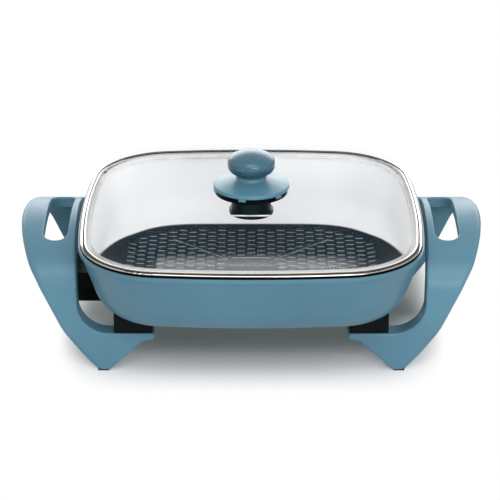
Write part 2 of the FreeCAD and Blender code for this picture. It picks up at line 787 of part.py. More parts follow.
def make_band():
    """A stainless channel folded round the glass edge, with one butt seam at the back."""
    body = new_body("band_ring")
    edge = mm.lid_edge_gap
    pad(body, "band_block", "XY_Plane", rim_outline(edge), "Sizes.band_height", BAND_LIFT)
    round_edges(body, "band_top_round", "Sizes.band_round",
                level_edges(band_bottom + mm.band_height))
    pocket(body, "band_opening", "XY_Plane", rim_outline(edge + mm.band_flange),
           "Sizes.band_height", BAND_LIFT, up=True)
    pocket(body, "band_foot_opening", "XY_Plane", rim_outline(edge + mm.band_foot),
           "Sizes.band_height / 2", BAND_LIFT, up=True)
    pocket(body, "band_channel", "XY_Plane", rim_outline(edge + mm.band_sheet),
           "Sizes.band_height - 2 * Sizes.band_sheet", BAND_LIFT + " + Sizes.band_sheet", up=True)
    seam = box("band_seam", (-mm.band_seam_place - mm.band_seam / 2, mm.wall_half_width / 2,
                             band_bottom - mm.overrun),
               (-mm.band_seam_place + mm.band_seam / 2, mm.wall_half_width + mm.overrun,
                band_bottom + mm.band_height + mm.overrun))
    return cut("lid_band", body, seam)


def dome_cap(body, name, drop):
    """Cuts a block off to a wide sphere that lies below the dome's top by the drop."""
    radius = dome_radius - drop
    centre = glass_top - dome_radius

    def height(across):
        return centre + math.sqrt(radius ** 2 - across ** 2)

    ceiling = glass_top + mm.dome_height
    crown, side, foot = (Vector(x, height(x), 0) for x in (0, dome_reach / 2, dome_reach))
    corner = Vector(dome_reach, ceiling, 0)
    top = Vector(0, ceiling, 0)
    geometry = [Part.Arc(crown, side, foot), Part.LineSegment(foot, corner),
                Part.LineSegment(corner, top), Part.LineSegment(top, crown)]
    revolve(body, name, geometry, groove=True)


def dome_edges(middle, edge):
    """The edges where the steep shoulder meets the dome."""
    return (middle.z > band_bottom + mm.dome_height / 2
            and max(abs(middle.x), abs(middle.y)) > mm.wall_half_width / 2
            and edge.BoundBox.ZLength < mm.shoulder_radius)


def steam_holes(name, low, high):
    holes = []
    for index in range(int(mm.tab_count)):
        turn = Rotation(UP, index * FULL_TURN / mm.tab_count)
        place = turn.multVec(Vector(mm.steam_hole_ring, 0, low))
        holes.append(rod(f"{name}_{index}", "Sizes.steam_hole_radius", high - low, place, UP))
    return holes


def make_glass():
    """Tempered glass: a flat edge held in the band, a steep shoulder and a wide, shallow dome."""
    outside = new_body("glass_outside")
    edge = mm.lid_edge_gap + mm.band_sheet + mm.glass_edge_gap
    shoulder = mm.lid_edge_gap + mm.shoulder_inset
    pad(outside, "glass_edge", "XY_Plane", rim_outline(edge), "Sizes.glass_thickness", GLASS_LIFT)
    pad(outside, "glass_block", "XY_Plane", rim_outline(shoulder), "Sizes.dome_height + Sizes.overrun",
        GLASS_LIFT)
    dome_cap(outside, "glass_dome_cap", 0)
    round_edges(outside, "glass_shoulder", "Sizes.shoulder_radius", dome_edges)
    inside = new_body("glass_inside")
    pad(inside, "glass_space", "XY_Plane", rim_outline(shoulder + mm.glass_thickness),
        "Sizes.dome_height + 2 * Sizes.overrun", GLASS_LIFT + " - Sizes.overrun")
    dome_cap(inside, "glass_space_cap", mm.glass_thickness)
    round_edges(inside, "glass_space_shoulder", "Sizes.shoulder_radius - Sizes.glass_thickness",
                dome_edges)
    low, high = glass_under - mm.overrun, glass_top + mm.overrun
    centre_hole = rod("glass_hole", "Sizes.glass_hole_radius", high - low, (0, 0, low), UP)
    tools = [inside, centre_hole] + steam_holes("glass_steam_hole", low, high)
    return cut("glass_lid", outside, joined("glass_tools", tools))


def ring_piece(label, outer, inner, low, high):
    return turned_piece(label, [(inner, low), (outer, low), (outer, high), (inner, high)])


def make_lid_washers():
    hole = mm.hub_radius + mm.fastener_play
    upper = ring_piece("upper_washer", mm.washer_radius, hole, glass_top, vent_bottom)
    lower = ring_piece("lower_washer", mm.washer_radius, hole, seat_top, glass_seat)
    return group("lid_washers", [upper, lower])


def make_vent_base():
    """The black steam ring under the knob: a dish with six windows and a hub through the glass."""
    bore = mm.knob_screw_radius + mm.fastener_play
    wall = mm.vent_radius - mm.vent_wall
    floor = vent_bottom + mm.vent_floor
    hub = mm.hub_radius + mm.hub_wall
    dish = turned_piece("vent_dish", [
        (bore, seat_top), (mm.hub_radius, seat_top), (mm.hub_radius, vent_bottom),
        (mm.vent_radius, vent_bottom), (mm.vent_radius, vent_top), (wall, vent_top),
        (wall, floor), (hub, floor), (hub, vent_top), (bore, vent_top)])
    tools = steam_holes("vent_steam_hole", vent_bottom - mm.overrun, floor + mm.overrun)
    for index in range(int(mm.tab_count)):
        window = box(f"vent_window_{index}",
                     (wall - mm.overrun, -mm.window_width / 2, floor),
                     (mm.vent_radius + mm.overrun, mm.window_width / 2, floor + mm.window_height))
        turn = Rotation(UP, tab_angle(index))
        window.Placement = Placement(turn.multVec(window.Placement.Base), turn)
        tools.append(window)
    return cut("vent_base", dish, joined("vent_tools", tools))


def tab_angle(index):
    """The knob's six tabs, turned a little from the front."""
    return mm.tab_start + index * FULL_TURN / mm.tab_count


def make_knob_skirt():
    """The wide disc of the knob, with its neck and six tabs that cover the steam windows."""
    bore = mm.knob_screw_radius + mm.clearance_hole
    hub = mm.hub_radius + mm.hub_wall
    inner = mm.skirt_radius - mm.skirt_wall
    edge_top = skirt_bottom + mm.skirt_edge
    ceiling = skirt_top - mm.skirt_wall
    disc = turned_piece("skirt_disc", [
        (bore, skirt_bottom), (hub, skirt_bottom), (hub, ceiling), (mm.neck_radius, ceiling),
        (inner, edge_top - mm.skirt_wall / 2), (inner, skirt_bottom), (mm.skirt_radius, skirt_bottom),
        (mm.skirt_radius, edge_top, mm.skirt_wall / 2), (mm.neck_radius, skirt_top, mm.neck_height / 2),
        (mm.neck_radius, grip_bottom), (bore, grip_bottom)])
    pieces = [disc]
    for index in range(int(mm.tab_count)):
        tab = box(f"skirt_tab_{index}",
                  (mm.skirt_radius - mm.tab_thickness, -mm.tab_width / 2, skirt_bottom - mm.tab_drop),
                  (mm.skirt_radius, mm.tab_width / 2, skirt_bottom + mm.skirt_edge / 2))
        turn = Rotation(UP, tab_angle(index))
        tab.Placement = Placement(turn.multVec(tab.Placement.Base), turn)
        pieces.append(tab)
    return joined("knob_skirt", pieces)


def make_knob_grip():
    """The lower half of the mushroom grip, with the space for its brass insert."""
    seam = grip_waist - mm.grip_seam_drop
    hole = mm.insert_radius + mm.fastener_play
    hole_top = grip_bottom + mm.insert_height
    radius = mm.grip_radius
    return turned_piece("knob_grip", [
        (hole, grip_bottom), (mm.neck_radius, grip_bottom),
        (radius, grip_bottom + mm.grip_lower_rise, mm.grip_lower_bend), (radius, seam), (0, seam),
        (0, hole_top), (hole, hole_top)])


def make_knob_cap():
    """The domed top of the grip: a wide crown arc with a tangent arc at its edge."""
    body = new_body("knob_cap")
    radius, bend = mm.grip_radius, mm.cap_bend
    rise = mm.grip_upper_height
    crown_radius = ((radius - bend) ** 2 + rise ** 2 - bend ** 2) / (2 * (rise - bend))
    crown_centre = grip_top - crown_radius
    lean = math.atan2(grip_waist - crown_centre, radius - bend)
    seam = Vector(0, grip_waist - mm.grip_seam_drop, 0)
    seam_edge = seam + Vector(radius, 0, 0)
    edge = Part.Circle(Vector(radius - bend, grip_waist, 0), UP, bend)
    crown = Part.Circle(Vector(0, crown_centre, 0), UP, crown_radius)
    revolve(body, "knob_cap_turned", [
        Part.LineSegment(seam, seam_edge), Part.LineSegment(seam_edge, Vector(radius, grip_waist, 0)),
        Part.ArcOfCircle(edge, 0, lean), Part.ArcOfCircle(crown, lean, math.pi / 2),
        Part.LineSegment(Vector(0, grip_top, 0), seam)])
    return body


def make_knob_insert():
    return ring_piece("knob_insert", mm.insert_radius, mm.knob_screw_radius + mm.fastener_play,
                      grip_bottom, grip_bottom + mm.insert_height)


def make_lid_seat():
    """The stepped black nut plate under the glass, with a sink for the screw head."""
    bore = mm.knob_screw_radius + mm.fastener_play
    sink = mm.knob_screw_head_radius + mm.clearance_hole
    sink_top = seat_foot_bottom + mm.knob_screw_head_height + mm.seat_gap
    edge = mm.washer_thickness
    return turned_piece("lid_seat", [
        (bore, seat_top), (bore, sink_top), (sink, sink_top), (sink, seat_foot_bottom),
        (mm.seat_foot_radius, seat_foot_bottom, edge), (mm.seat_foot_radius, seat_bottom, edge),
        (mm.seat_radius, seat_bottom), (mm.seat_radius, seat_top, edge)])


def make_knob_screw():
    seat = seat_foot_bottom + mm.knob_screw_head_height
    length = grip_bottom + mm.insert_height - mm.overrun - seat
    return screw("knob_screw", mm.knob_screw_radius, mm.knob_screw_head_radius,
                 mm.knob_screw_head_height, length, (0, 0, seat))


# Heat control

CASE_BOTTOM_LIFT = ELEMENT_LIFT + " - Sizes.case_drop"
CASE_SPLIT_LIFT = CASE_BOTTOM_LIFT + " + Sizes.lower_case_height"
CASE_TOP_LIFT = CASE_SPLIT_LIFT + " + Sizes.upper_case_height"


def case_outline(inset):
    """The heat control's plan: rounded at its outer end, square at the end towards the pan."""
    half = mm.case_half_width - inset
    outer, inner = -case_outer + inset, -case_inner - inset
    end_bend = mm.case_end_radius - inset
    corner = mm.case_corner - inset
    return rounded([(inner, -half, corner), (inner, half, corner),
                    (outer, half, end_bend), (outer, -half, end_bend)])


def post_places():
    places = []
    for end in (FRONT, REAR):
        places.append((-inner_post_place, end * mm.inner_post_spread / 2))
        places.append((-outer_post_place, end * mm.outer_post_spread / 2))
    return places


def post_circles(radius):
    return [circle(radius, *place)[0] for place in post_places()]


def gland_level():
    return (case_bottom + case_split) / 2


def make_lower_case():
    body = new_body("lower_case")
    pad(body, "lower_case_block", "XY_Plane", case_outline(0), "Sizes.lower_case_height",
        CASE_BOTTOM_LIFT)
    round_edges(body, "lower_case_round", "Sizes.case_edge_round", level_edges(case_bottom))
    pocket(body, "lower_case_space", "XY_Plane", case_outline(mm.case_wall),
           "Sizes.lower_case_height", CASE_BOTTOM_LIFT + " + Sizes.case_wall", up=True)
    half_height = mm.block_height / 2 + mm.fastener_play
    half_width = mm.block_half_width + mm.fastener_play
    pocket(body, "block_opening", "YZ_Plane",
           rectangle(-half_width, half_width, element_level - half_height, element_level + half_height),
           "2 * Sizes.case_wall", CASE_INNER_END + " - Sizes.case_wall / 2", both_ways=True)
    pocket(body, "lens_hole", "YZ_Plane",
           circle(mm.lens_radius + mm.fastener_play, 0, case_bottom + mm.lens_rise),
           "2 * Sizes.case_wall", CASE_OUTER_END, both_ways=True)
    pocket(body, "gland_hole", "XZ_Plane",
           circle(mm.gland_radius + mm.fastener_play, -gland_place, gland_level()),
           "2 * (Sizes.case_wall + Sizes.overrun)", "-Sizes.case_half_width", both_ways=True)
    depth = mm.case_half_width - mm.groove_depth
    outside = mm.case_half_width + mm.overrun
    start = -case_inner - mm.case_corner - mm.groove_length
    for end in (FRONT, REAR):
        across = sorted((end * depth, end * outside))
        groove = pocket(body, f"groove_{end + 1}", "XY_Plane",
                        rectangle(start, start + mm.groove_length, *across), "Sizes.groove_height",
                        CASE_BOTTOM_LIFT + " + Sizes.groove_pitch", up=True)
        rows = body.newObject("PartDesign::LinearPattern", f"groove_rows_{end + 1}")
        rows.Originals = [groove]
        rows.Direction = (groove.Profile[0], ["N_Axis"])
        rows.setExpression("Length", "Sizes.groove_pitch * (Sizes.groove_count - 1)")
        rows.setExpression("Occurrences", "Sizes.groove_count")
        body.Tip = rows
        doc.recompute()
    pocket(body, "case_screw_sinks", "XY_Plane",
           post_circles(mm.case_screw_head_radius + mm.clearance_hole),
           "Sizes.case_screw_head_height", CASE_BOTTOM_LIFT, up=True)
    pocket(body, "case_screw_holes", "XY_Plane",
           post_circles(mm.case_screw_radius + mm.clearance_hole),
           "2 * Sizes.case_wall", CASE_BOTTOM_LIFT, up=True)
    return body


def make_upper_case():
    """The upper shell, with the dial's bearing hole and four screw posts."""
    body = new_body("upper_case")
    pad(body, "upper_case_block", "XY_Plane", case_outline(0), "Sizes.upper_case_height",
        CASE_SPLIT_LIFT)
    round_edges(body, "upper_case_round", "Sizes.case_edge_round", level_edges(case_top))
    pocket(body, "upper_case_space", "XY_Plane", case_outline(mm.case_wall),
           "Sizes.upper_case_height - Sizes.case_wall", CASE_SPLIT_LIFT, up=True)
    pad(body, "case_posts", "XY_Plane", post_circles(mm.case_post_radius),
        "Sizes.lower_case_height + Sizes.upper_case_height - Sizes.case_wall * 3 / 2 - Sizes.seat_gap",
        CASE_BOTTOM_LIFT + " + Sizes.case_wall + Sizes.seat_gap")
    pocket(body, "post_holes", "XY_Plane", post_circles(mm.case_screw_radius + mm.fastener_play),
           "Sizes.case_screw_length", CASE_BOTTOM_LIFT, up=True)
    pocket(body, "dial_bearing", "XY_Plane",
           circle(mm.spindle_radius + mm.spindle_play, -dial_place), "2 * Sizes.case_wall",
           CASE_TOP_LIFT, both_ways=True)
    return body


def make_contact_block():
    """The insulating block that carries the two sockets and the probe."""
    half = mm.block_half_width
    half_height = mm.block_height / 2
    tail = -case_inner - mm.block_tail
    nose = -case_inner + mm.block_nose
    block = box("block_body", (tail, -half, element_level - half_height),
                (nose, half, element_level + half_height))
    along = Vector(1, 0, 0)
    tools = [rod("block_probe_hole", "Sizes.probe_radius + Sizes.fastener_play",
                 nose - tail + 2 * mm.overrun, (tail - mm.overrun, 0, element_level), along)]
    for end in (FRONT, REAR):
        tools.append(rod(f"block_socket_hole_{end}", "Sizes.socket_radius + Sizes.fastener_play",
                         mm.socket_length + mm.overrun,
                         (nose - mm.socket_length, end * mm.terminal_spread / 2, element_level), along))
    return cut("contact_block", block, joined("block_tools", tools))


def make_sockets():
    nose = -case_inner + mm.block_nose
    along = Vector(1, 0, 0)
    sleeves = []
    for end in (FRONT, REAR):
        start = (nose - mm.socket_length, end * mm.terminal_spread / 2, element_level)
        sleeve = rod(f"sleeve_{end}", "Sizes.socket_radius", mm.socket_length, start, along)
        bore = rod(f"sleeve_bore_{end}", "Sizes.pin_radius + Sizes.fastener_play", mm.socket_length,
                   start, along)
        sleeves.append(cut(f"socket_{end}", sleeve, bore))
    return group("contact_sockets", sleeves)


def make_probe():
    """The steel sensing rod, rounded at its tip."""
    body = new_body("probe_rod")
    length = mm.probe_tail + mm.block_tail + mm.block_nose + mm.probe_reach
    revolve(body, "probe_turned", rounded([
        (0, 0), (mm.probe_radius, 0), (mm.probe_radius, length, mm.probe_radius / 2), (0, length)]))
    start = Vector(-case_inner - mm.block_tail - mm.probe_tail, 0, element_level)
    body.Placement = Placement(start, Rotation(UP, Vector(1, 0, 0)))
    return body


def make_thermostat():
    """The switch block under the dial, with a hole for the dial's spindle."""
    ceiling = case_top - mm.case_wall
    half_length = mm.thermostat_length / 2
    half_width = mm.thermostat_width / 2
    block = box("thermostat_block", (-dial_place - half_length, -half_width,
                                     ceiling - mm.thermostat_height),
                (-dial_place + half_length, half_width, ceiling))
    hole = rod("thermostat_hole", "Sizes.spindle_radius + Sizes.clearance_hole",
               mm.thermostat_height / 2 + mm.overrun,
               (-dial_place, 0, ceiling - mm.thermostat_height / 2), UP)
    return cut("thermostat", block, hole)


def make_dial():
    """The temperature dial and its spindle, fluted round the grip."""
    body = new_body("temperature_dial")
    low = mm.seat_gap
    flange = low + mm.dial_step
    top = low + mm.dial_height
    grip = mm.dial_radius - mm.dial_step
    spindle_end = -mm.case_wall - mm.thermostat_height / 2 + mm.clearance_hole
    revolve(body, "dial_turned", rounded([
        (0, spindle_end), (mm.spindle_radius, spindle_end), (mm.spindle_radius, low),
        (mm.dial_radius, low), (mm.dial_radius, flange), (grip, flange),
        (grip, top, mm.dial_round), (0, top)]))
    flute = pocket(body, "dial_flute", "XY_Plane", circle(mm.dial_flute_radius, grip),
                   "Sizes.dial_height", "Sizes.seat_gap + Sizes.dial_step", up=True)
    flutes = body.newObject("PartDesign::PolarPattern", "dial_flutes")
    flutes.Originals = [flute]
    flutes.Axis = (flute.Profile[0], ["N_Axis"])
    flutes.Angle = FULL_TURN
    flutes.setExpression("Occurrences", "Sizes.dial_flutes")
    body.Tip = flutes
    body.Placement = Placement(Vector(-dial_place, 0, case_top), Rotation())
    return body


def make_lens_and_lamp():
    """The heating light: an amber lens in the end wall and a small lamp behind it."""
    level = case_bottom + mm.lens_rise
    proud = mm.clearance_hole
    lens = rod("indicator_lens", "Sizes.lens_radius", mm.lens_thickness,
               (-case_outer - proud, 0, level), Vector(1, 0, 0))
    lens.Label = "indicator_lens"
    lamp = rod("indicator_lamp", "Sizes.lamp_radius", mm.lamp_length,
               (-case_outer - proud + mm.lens_thickness, 0, level), Vector(1, 0, 0))
    lamp.Label = "indicator_lamp"
    return [lens, lamp]


def make_gland():
    """The rubber bush that a lead would pass through, on the rear wall of the case."""
    body = new_body("cord_gland")
    back = -mm.case_wall
    revolve(body, "gland_turned", rounded([
        (mm.gland_bore, back), (mm.gland_radius, back), (mm.gland_radius, 0),
        (mm.gland_flange, 0), (mm.gland_flange, mm.gland_flange_length),
        (mm.gland_radius, mm.gland_flange_length),
        (mm.gland_radius, mm.gland_length), (mm.gland_bore, mm.gland_length)]))
    place = Vector(-gland_place, mm.case_half_width, gland_level())
    body.Placement = Placement(place, Rotation(UP, Vector(0, 1, 0)))
    return body


def make_case_screws():
    seat = case_bottom + mm.case_screw_head_height
    length = mm.case_screw_length - mm.case_screw_head_height - mm.fastener_play
    return group("case_screws", [
        screw(f"case_screw_{number}", mm.case_screw_radius, mm.case_screw_head_radius,
              mm.case_screw_head_height, length, (x, y, seat))
        for number, (x, y) in enumerate(post_places())])


nodes = [make_pan(), make_element()]
nodes += make_terminals()
nodes += [make_guard(), make_guard_screws()]
nodes += [make_handle("left_handle", LEFT), make_handle("right_handle", RIGHT)]
nodes += [make_foot_pads(), make_leg_screws()]
nodes += make_spacers()
nodes += [make_band(), make_glass(), make_lid_washers(), make_vent_base(), make_lid_seat()]
nodes += [make_knob_skirt(), make_knob_grip(), make_knob_cap(), make_knob_insert(), make_knob_screw()]
nodes += [make_lower_case(), make_upper_case(), make_contact_block(), make_sockets(), make_probe()]
nodes += [make_thermostat(), make_dial(), make_gland(), make_case_screws()]
nodes += make_lens_and_lamp()
doc.recompute()

for item in doc.Objects:
    if "Invalid" in item.State or "Error" in item.State:
        raise ValueError(item.Name + " failed to build")
for node in nodes:
    if node.Shape.isNull() or not node.Shape.isValid() or not node.Shape.Solids:
        raise ValueError(node.Label + " has no valid solid")

os.makedirs("parts", exist_ok=True)
for node in nodes:
    node.Shape.exportStep(os.path.join("parts", node.Label + ".step"))
    bounds = node.Shape.optimalBoundingBox()
    print(f"{node.Label}: {len(node.Shape.Solids)} solid(s), z {bounds.ZMin:.1f} to {bounds.ZMax:.1f}")
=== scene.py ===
import json
import math

import bmesh
import bpy
from mathutils import Matrix, Vector


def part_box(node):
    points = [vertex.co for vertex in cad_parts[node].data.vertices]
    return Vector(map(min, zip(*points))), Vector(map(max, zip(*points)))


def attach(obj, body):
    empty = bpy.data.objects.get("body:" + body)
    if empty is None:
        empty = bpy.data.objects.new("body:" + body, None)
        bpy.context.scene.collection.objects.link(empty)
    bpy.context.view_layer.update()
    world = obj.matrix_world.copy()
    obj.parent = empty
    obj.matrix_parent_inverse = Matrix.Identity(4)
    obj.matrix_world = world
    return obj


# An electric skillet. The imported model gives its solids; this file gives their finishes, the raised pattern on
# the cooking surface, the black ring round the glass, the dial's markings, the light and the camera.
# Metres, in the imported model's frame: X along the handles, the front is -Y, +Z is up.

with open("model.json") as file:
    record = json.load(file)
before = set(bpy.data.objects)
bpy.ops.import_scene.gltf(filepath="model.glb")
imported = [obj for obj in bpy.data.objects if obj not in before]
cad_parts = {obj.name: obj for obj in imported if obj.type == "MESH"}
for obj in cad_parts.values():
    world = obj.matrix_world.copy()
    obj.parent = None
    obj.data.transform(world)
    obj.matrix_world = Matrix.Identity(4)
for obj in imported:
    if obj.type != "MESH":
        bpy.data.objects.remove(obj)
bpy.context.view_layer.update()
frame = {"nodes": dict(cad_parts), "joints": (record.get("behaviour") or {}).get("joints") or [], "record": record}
cad = frame["nodes"]
joints = {joint["name"]: joint for joint in frame["joints"]}
MM = 0.001
# How many degrees above the table the camera stands
VIEW_ANGLE = 22.0


# Node helpers

# A Mix node's sockets for colours, by number because its other sockets have the same names
MIX_SHARE = 0
MIX_FIRST = 6
MIX_SECOND = 7
MIX_RESULT = 2


class Value:
    """One output of a node. Plain arithmetic on it adds Math nodes beside it."""

    def __init__(self, nodes, output):
        self.nodes = nodes
        self.output = output

    def math(self, operation, *values):
        return self.nodes.node("Math", {"operation": operation}, values)

    def __add__(self, other):
        return self.math("ADD", self, other)

    __radd__ = __add__

    def __sub__(self, other):
        return self.math("SUBTRACT", self, other)

    def __rsub__(self, other):
        return self.math("SUBTRACT", other, self)

    def __mul__(self, other):
        return self.math("MULTIPLY", self, other)

    __rmul__ = __mul__

    def __truediv__(self, other):
        return self.math("DIVIDE", self, other)

    def __pow__(self, other):
        return self.math("POWER", self, other)

    def __abs__(self):
        return self.math("ABSOLUTE", self)

    def larger(self, other):
        return self.math("MAXIMUM", self, other)

    def smaller(self, other):
        return self.math("MINIMUM", self, other)

    def above(self, other):
        return self.math("GREATER_THAN", self, other)

    def ramp(self, low, high):
        """Rises smoothly from 0 to 1 while the value goes from low to high."""
        sockets = {"Value": self, "From Min": low, "From Max": high}
        return self.nodes.node("MapRange", {"interpolation_type": "SMOOTHSTEP"}, sockets)


class Nodes:
    """The nodes of a finish or of the room's light."""

    def __init__(self, owner):
        owner.use_nodes = True
        self.owner = owner
        self.tree = owner.node_tree
        self.tree.nodes.clear()

    def node(self, kind, settings=None, sockets=(), output=0):
        """Adds a node: its settings first, then the values or links of its sockets."""
        made = self.tree.nodes.new("ShaderNode" + kind)
        for name, value in (settings or {}).items():
            setattr(made, name, value)
        pairs = sockets.items() if isinstance(sockets, dict) else enumerate(sockets)
        for key, value in pairs:
            if isinstance(value, Value):
                self.tree.links.new(value.output, made.inputs[key])
            else:
                made.inputs[key].default_value = value
        return Value(self, made.outputs[output]) if made.outputs else None


class Finish(Nodes):
    """A material and what its surface is made of."""

    def __init__(self, name):
        super().__init__(bpy.data.materials.new(name))

    def place(self):
        """The surface point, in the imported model's frame at rest."""
        return self.node("TexCoord", output="Object")

    def facing(self):
        """Which way the surface faces, as x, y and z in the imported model's frame at rest."""
        return self.parts(self.node("TexCoord", output="Normal"))

    def parts(self, vector):
        return [self.node("SeparateXYZ", None, [vector], axis) for axis in "XYZ"]

    def noise(self, spot, scale, detail, roughness=0.5):
        return self.node("TexNoise", None, {"Vector": spot, "Scale": scale, "Detail": detail,
                                            "Roughness": roughness})

    def mix(self, share, first, second):
        """A colour between two colours."""
        sockets = {MIX_SHARE: share, MIX_FIRST: first, MIX_SECOND: second}
        return self.node("Mix", {"data_type": "RGBA"}, sockets, MIX_RESULT)

    def stretched(self, spot, *factors):
        return self.node("VectorMath", {"operation": "MULTIPLY"}, [spot, factors])

    def bump(self, height, distance, strength):
        return self.node("Bump", None, {"Height": height, "Distance": distance,
                                        "Strength": strength})

    def shader(self, **sockets):
        """A Principled surface; a socket's name has its spaces written as underscores."""
        named = {key.replace("_", " "): value for key, value in sockets.items()}
        return self.node("BsdfPrincipled", None, named)

    def blend(self, share, first, second):
        """A surface between two surfaces."""
        return self.node("MixShader", None, [share, first, second])

    def done(self, surface):
        self.node("OutputMaterial", None, {"Surface": surface})
        return self.owner


def colour(red, green, blue):
    """Screen values from 0 to 255 as the linear colour that a socket takes."""
    def linear(value):
        share = value / 255
        return share / 12.92 if share <= 0.04045 else ((share + 0.055) / 1.055) ** 2.4
    return linear(red), linear(green), linear(blue), 1.0


def shades(*screen_colours):
    """A finish's main colour and the deeper, duller or more worn one that clouds it."""
    return [colour(*values) for values in screen_colours]


# Finishes

HANDLE_BLUE = shades((81, 123, 141), (73, 113, 131))
SKIRT_BLUE = shades((81, 126, 143), (74, 117, 134))
CAP_BLUE = shades((58, 98, 115), (52, 90, 107))
GRIP_BLUE = shades((43, 77, 93), (37, 70, 85))
PAN_BLUE = shades((70, 112, 131), (63, 104, 122))
LINING_DARK = shades((1, 24, 35), (4, 31, 43))
SEAT_BLACK = shades((7, 27, 34), (4, 20, 27))
VENT_BLACK = shades((1, 8, 12), (1, 5, 8))
SHELL_BLACK = shades((5, 7, 9), (2, 4, 5))
DIAL_BLACK = shades((30, 32, 35), (22, 24, 27))
DIAL_WHITE = shades((225, 226, 226), (208, 209, 210))
STAINLESS = shades((190, 184, 176), (168, 162, 153))
STEEL = shades((196, 197, 199), (172, 173, 175))
SHEET_STEEL = shades((204, 205, 207), (184, 185, 188))
BRASS = shades((214, 178, 98), (188, 150, 78))
CERAMIC = shades((232, 229, 220), (218, 214, 203))
RUBBER = shades((34, 35, 36), (26, 27, 28))
SILICONE = shades((8, 8, 9), (5, 5, 6))
AMBER = shades((224, 138, 40), (206, 116, 28))
BULB = shades((244, 214, 176), (236, 196, 150))
# Painted shade: the black on the band's outer side, for the dark gap behind the lip
PAINTED_GAP_SHADE = colour(8, 8, 9)
RING_PALE = colour(239, 240, 240)
# Painted light: the whiter colour that the pale ring takes on the left and right walls
RING_PAINTED_LIGHT = colour(254, 254, 254)
# Painted highlight: the pale colour on the front and rear edges of the raised pattern
EDGE_PAINTED_HIGHLIGHT = colour(128, 145, 152)
# Painted highlight: the white line on the plate under the glass
PAINTED_HIGHLIGHT_WHITE = colour(254, 254, 254)
WHITE = (1.0, 1.0, 1.0, 1.0)

# Noise patterns: scale, detail and, where it isn't 0.5, roughness
FLOW_CLOUDS = (14.0, 3.0)
PAINT_CLOUDS = (10.0, 3.0)
METAL_CLOUDS = (30.0, 3.0)
PLAIN_CLOUDS = (24.0, 3.0)
RUBBED_SPOTS = (95.0, 4.0, 0.6)
WORN_SPOTS = (60.0, 4.0, 0.6)
GLASS_SMEARS = (35.0, 4.0, 0.6)
REFLECTION_BREAKUP = (260.0, 4.0, 0.7)
BROKEN_EDGES = (700.0, 1.0)
MOULD_GRAIN = (2600.0, 1.0)
PAINT_GRAIN = (1500.0, 2.0)
PLAIN_GRAIN = (400.0, 3.0, 0.6)
DRAWN_LINES = (900.0, 3.0, 0.6)

# Where a pattern begins to show and where it shows in full
CLOUDED = (0.3, 0.7)
FADED = (0.3, 0.75)
DULLED = (0.35, 0.8)
RUBBED = (0.35, 0.75)
WORN = (0.45, 0.8)
SMEARED = (0.5, 0.9)

# Grain: its depth and its strength
MOULD_BUMP = (0.02 * MM, 0.6)
PAINT_BUMP = (0.03 * MM, 0.5)
LINING_BUMP = (0.02 * MM, 0.5)
METAL_BUMP = (0.02 * MM, 0.4)
PLAIN_BUMP = (0.05 * MM, 0.5)

# How much a pattern changes the roughness
RUBBED_ROUGHER = 0.06
FLOW_SMOOTHER = 0.04
GRAIN_ROUGHER = 0.1
LINES_ROUGHER = 0.1
DULL_ROUGHER = 0.05


def moulded(name, both_shades, roughness, **sockets):
    """Satin moulded plastic: a fine grain, faint flow clouds and slightly rubbed spots."""
    finish = Finish(name)
    spot = finish.place()
    clouds = finish.noise(spot, *FLOW_CLOUDS)
    rubbed = finish.noise(spot, *RUBBED_SPOTS)
    grain = finish.noise(spot, *MOULD_GRAIN)
    base = finish.mix(clouds.ramp(*CLOUDED), *both_shades)
    gloss = roughness + rubbed.ramp(*RUBBED) * RUBBED_ROUGHER - clouds * FLOW_SMOOTHER
    return finish.done(finish.shader(Base_Color=base, Roughness=gloss,
                                     Normal=finish.bump(grain, *MOULD_BUMP), **sockets))


def plain(name, both_shades, roughness, **sockets):
    """A non-metal finish with its own grain: rubber, ceramic, lens or print."""
    finish = Finish(name)
    spot = finish.place()
    grain = finish.noise(spot, *PLAIN_GRAIN)
    clouds = finish.noise(spot, *PLAIN_CLOUDS)
    base = finish.mix(clouds.ramp(*FADED), *both_shades)
    return finish.done(finish.shader(Base_Color=base, Roughness=roughness + grain * GRAIN_ROUGHER,
                                     Normal=finish.bump(grain, *PLAIN_BUMP), **sockets))


def metal(name, both_shades, roughness, stretch=(1.0, 1.0, 1.0)):
    """Bare metal with fine drawn lines and a few duller clouds."""
    finish = Finish(name)
    spot = finish.place()
    lines = finish.noise(finish.stretched(spot, *stretch), *DRAWN_LINES)
    clouds = finish.noise(spot, *METAL_CLOUDS)
    base = finish.mix(clouds.ramp(*DULLED), *both_shades)
    gloss = roughness + lines * LINES_ROUGHER + clouds * DULL_ROUGHER
    return finish.done(finish.shader(Base_Color=base, Metallic=1.0, Roughness=gloss,
                                     Normal=finish.bump(lines, *METAL_BUMP)))


BAND_STRETCH = (1.0, 1.0, 14.0)
BAND_ROUGHNESS = 0.07
BAND_LINES_ROUGHER = 0.05
BAND_DULL_ROUGHER = 0.03
# Heights between which the painted shade on the band's outer side gives way to bright steel
BAND_PAINTED_SHADE = (119.8 * MM, 120.5 * MM)


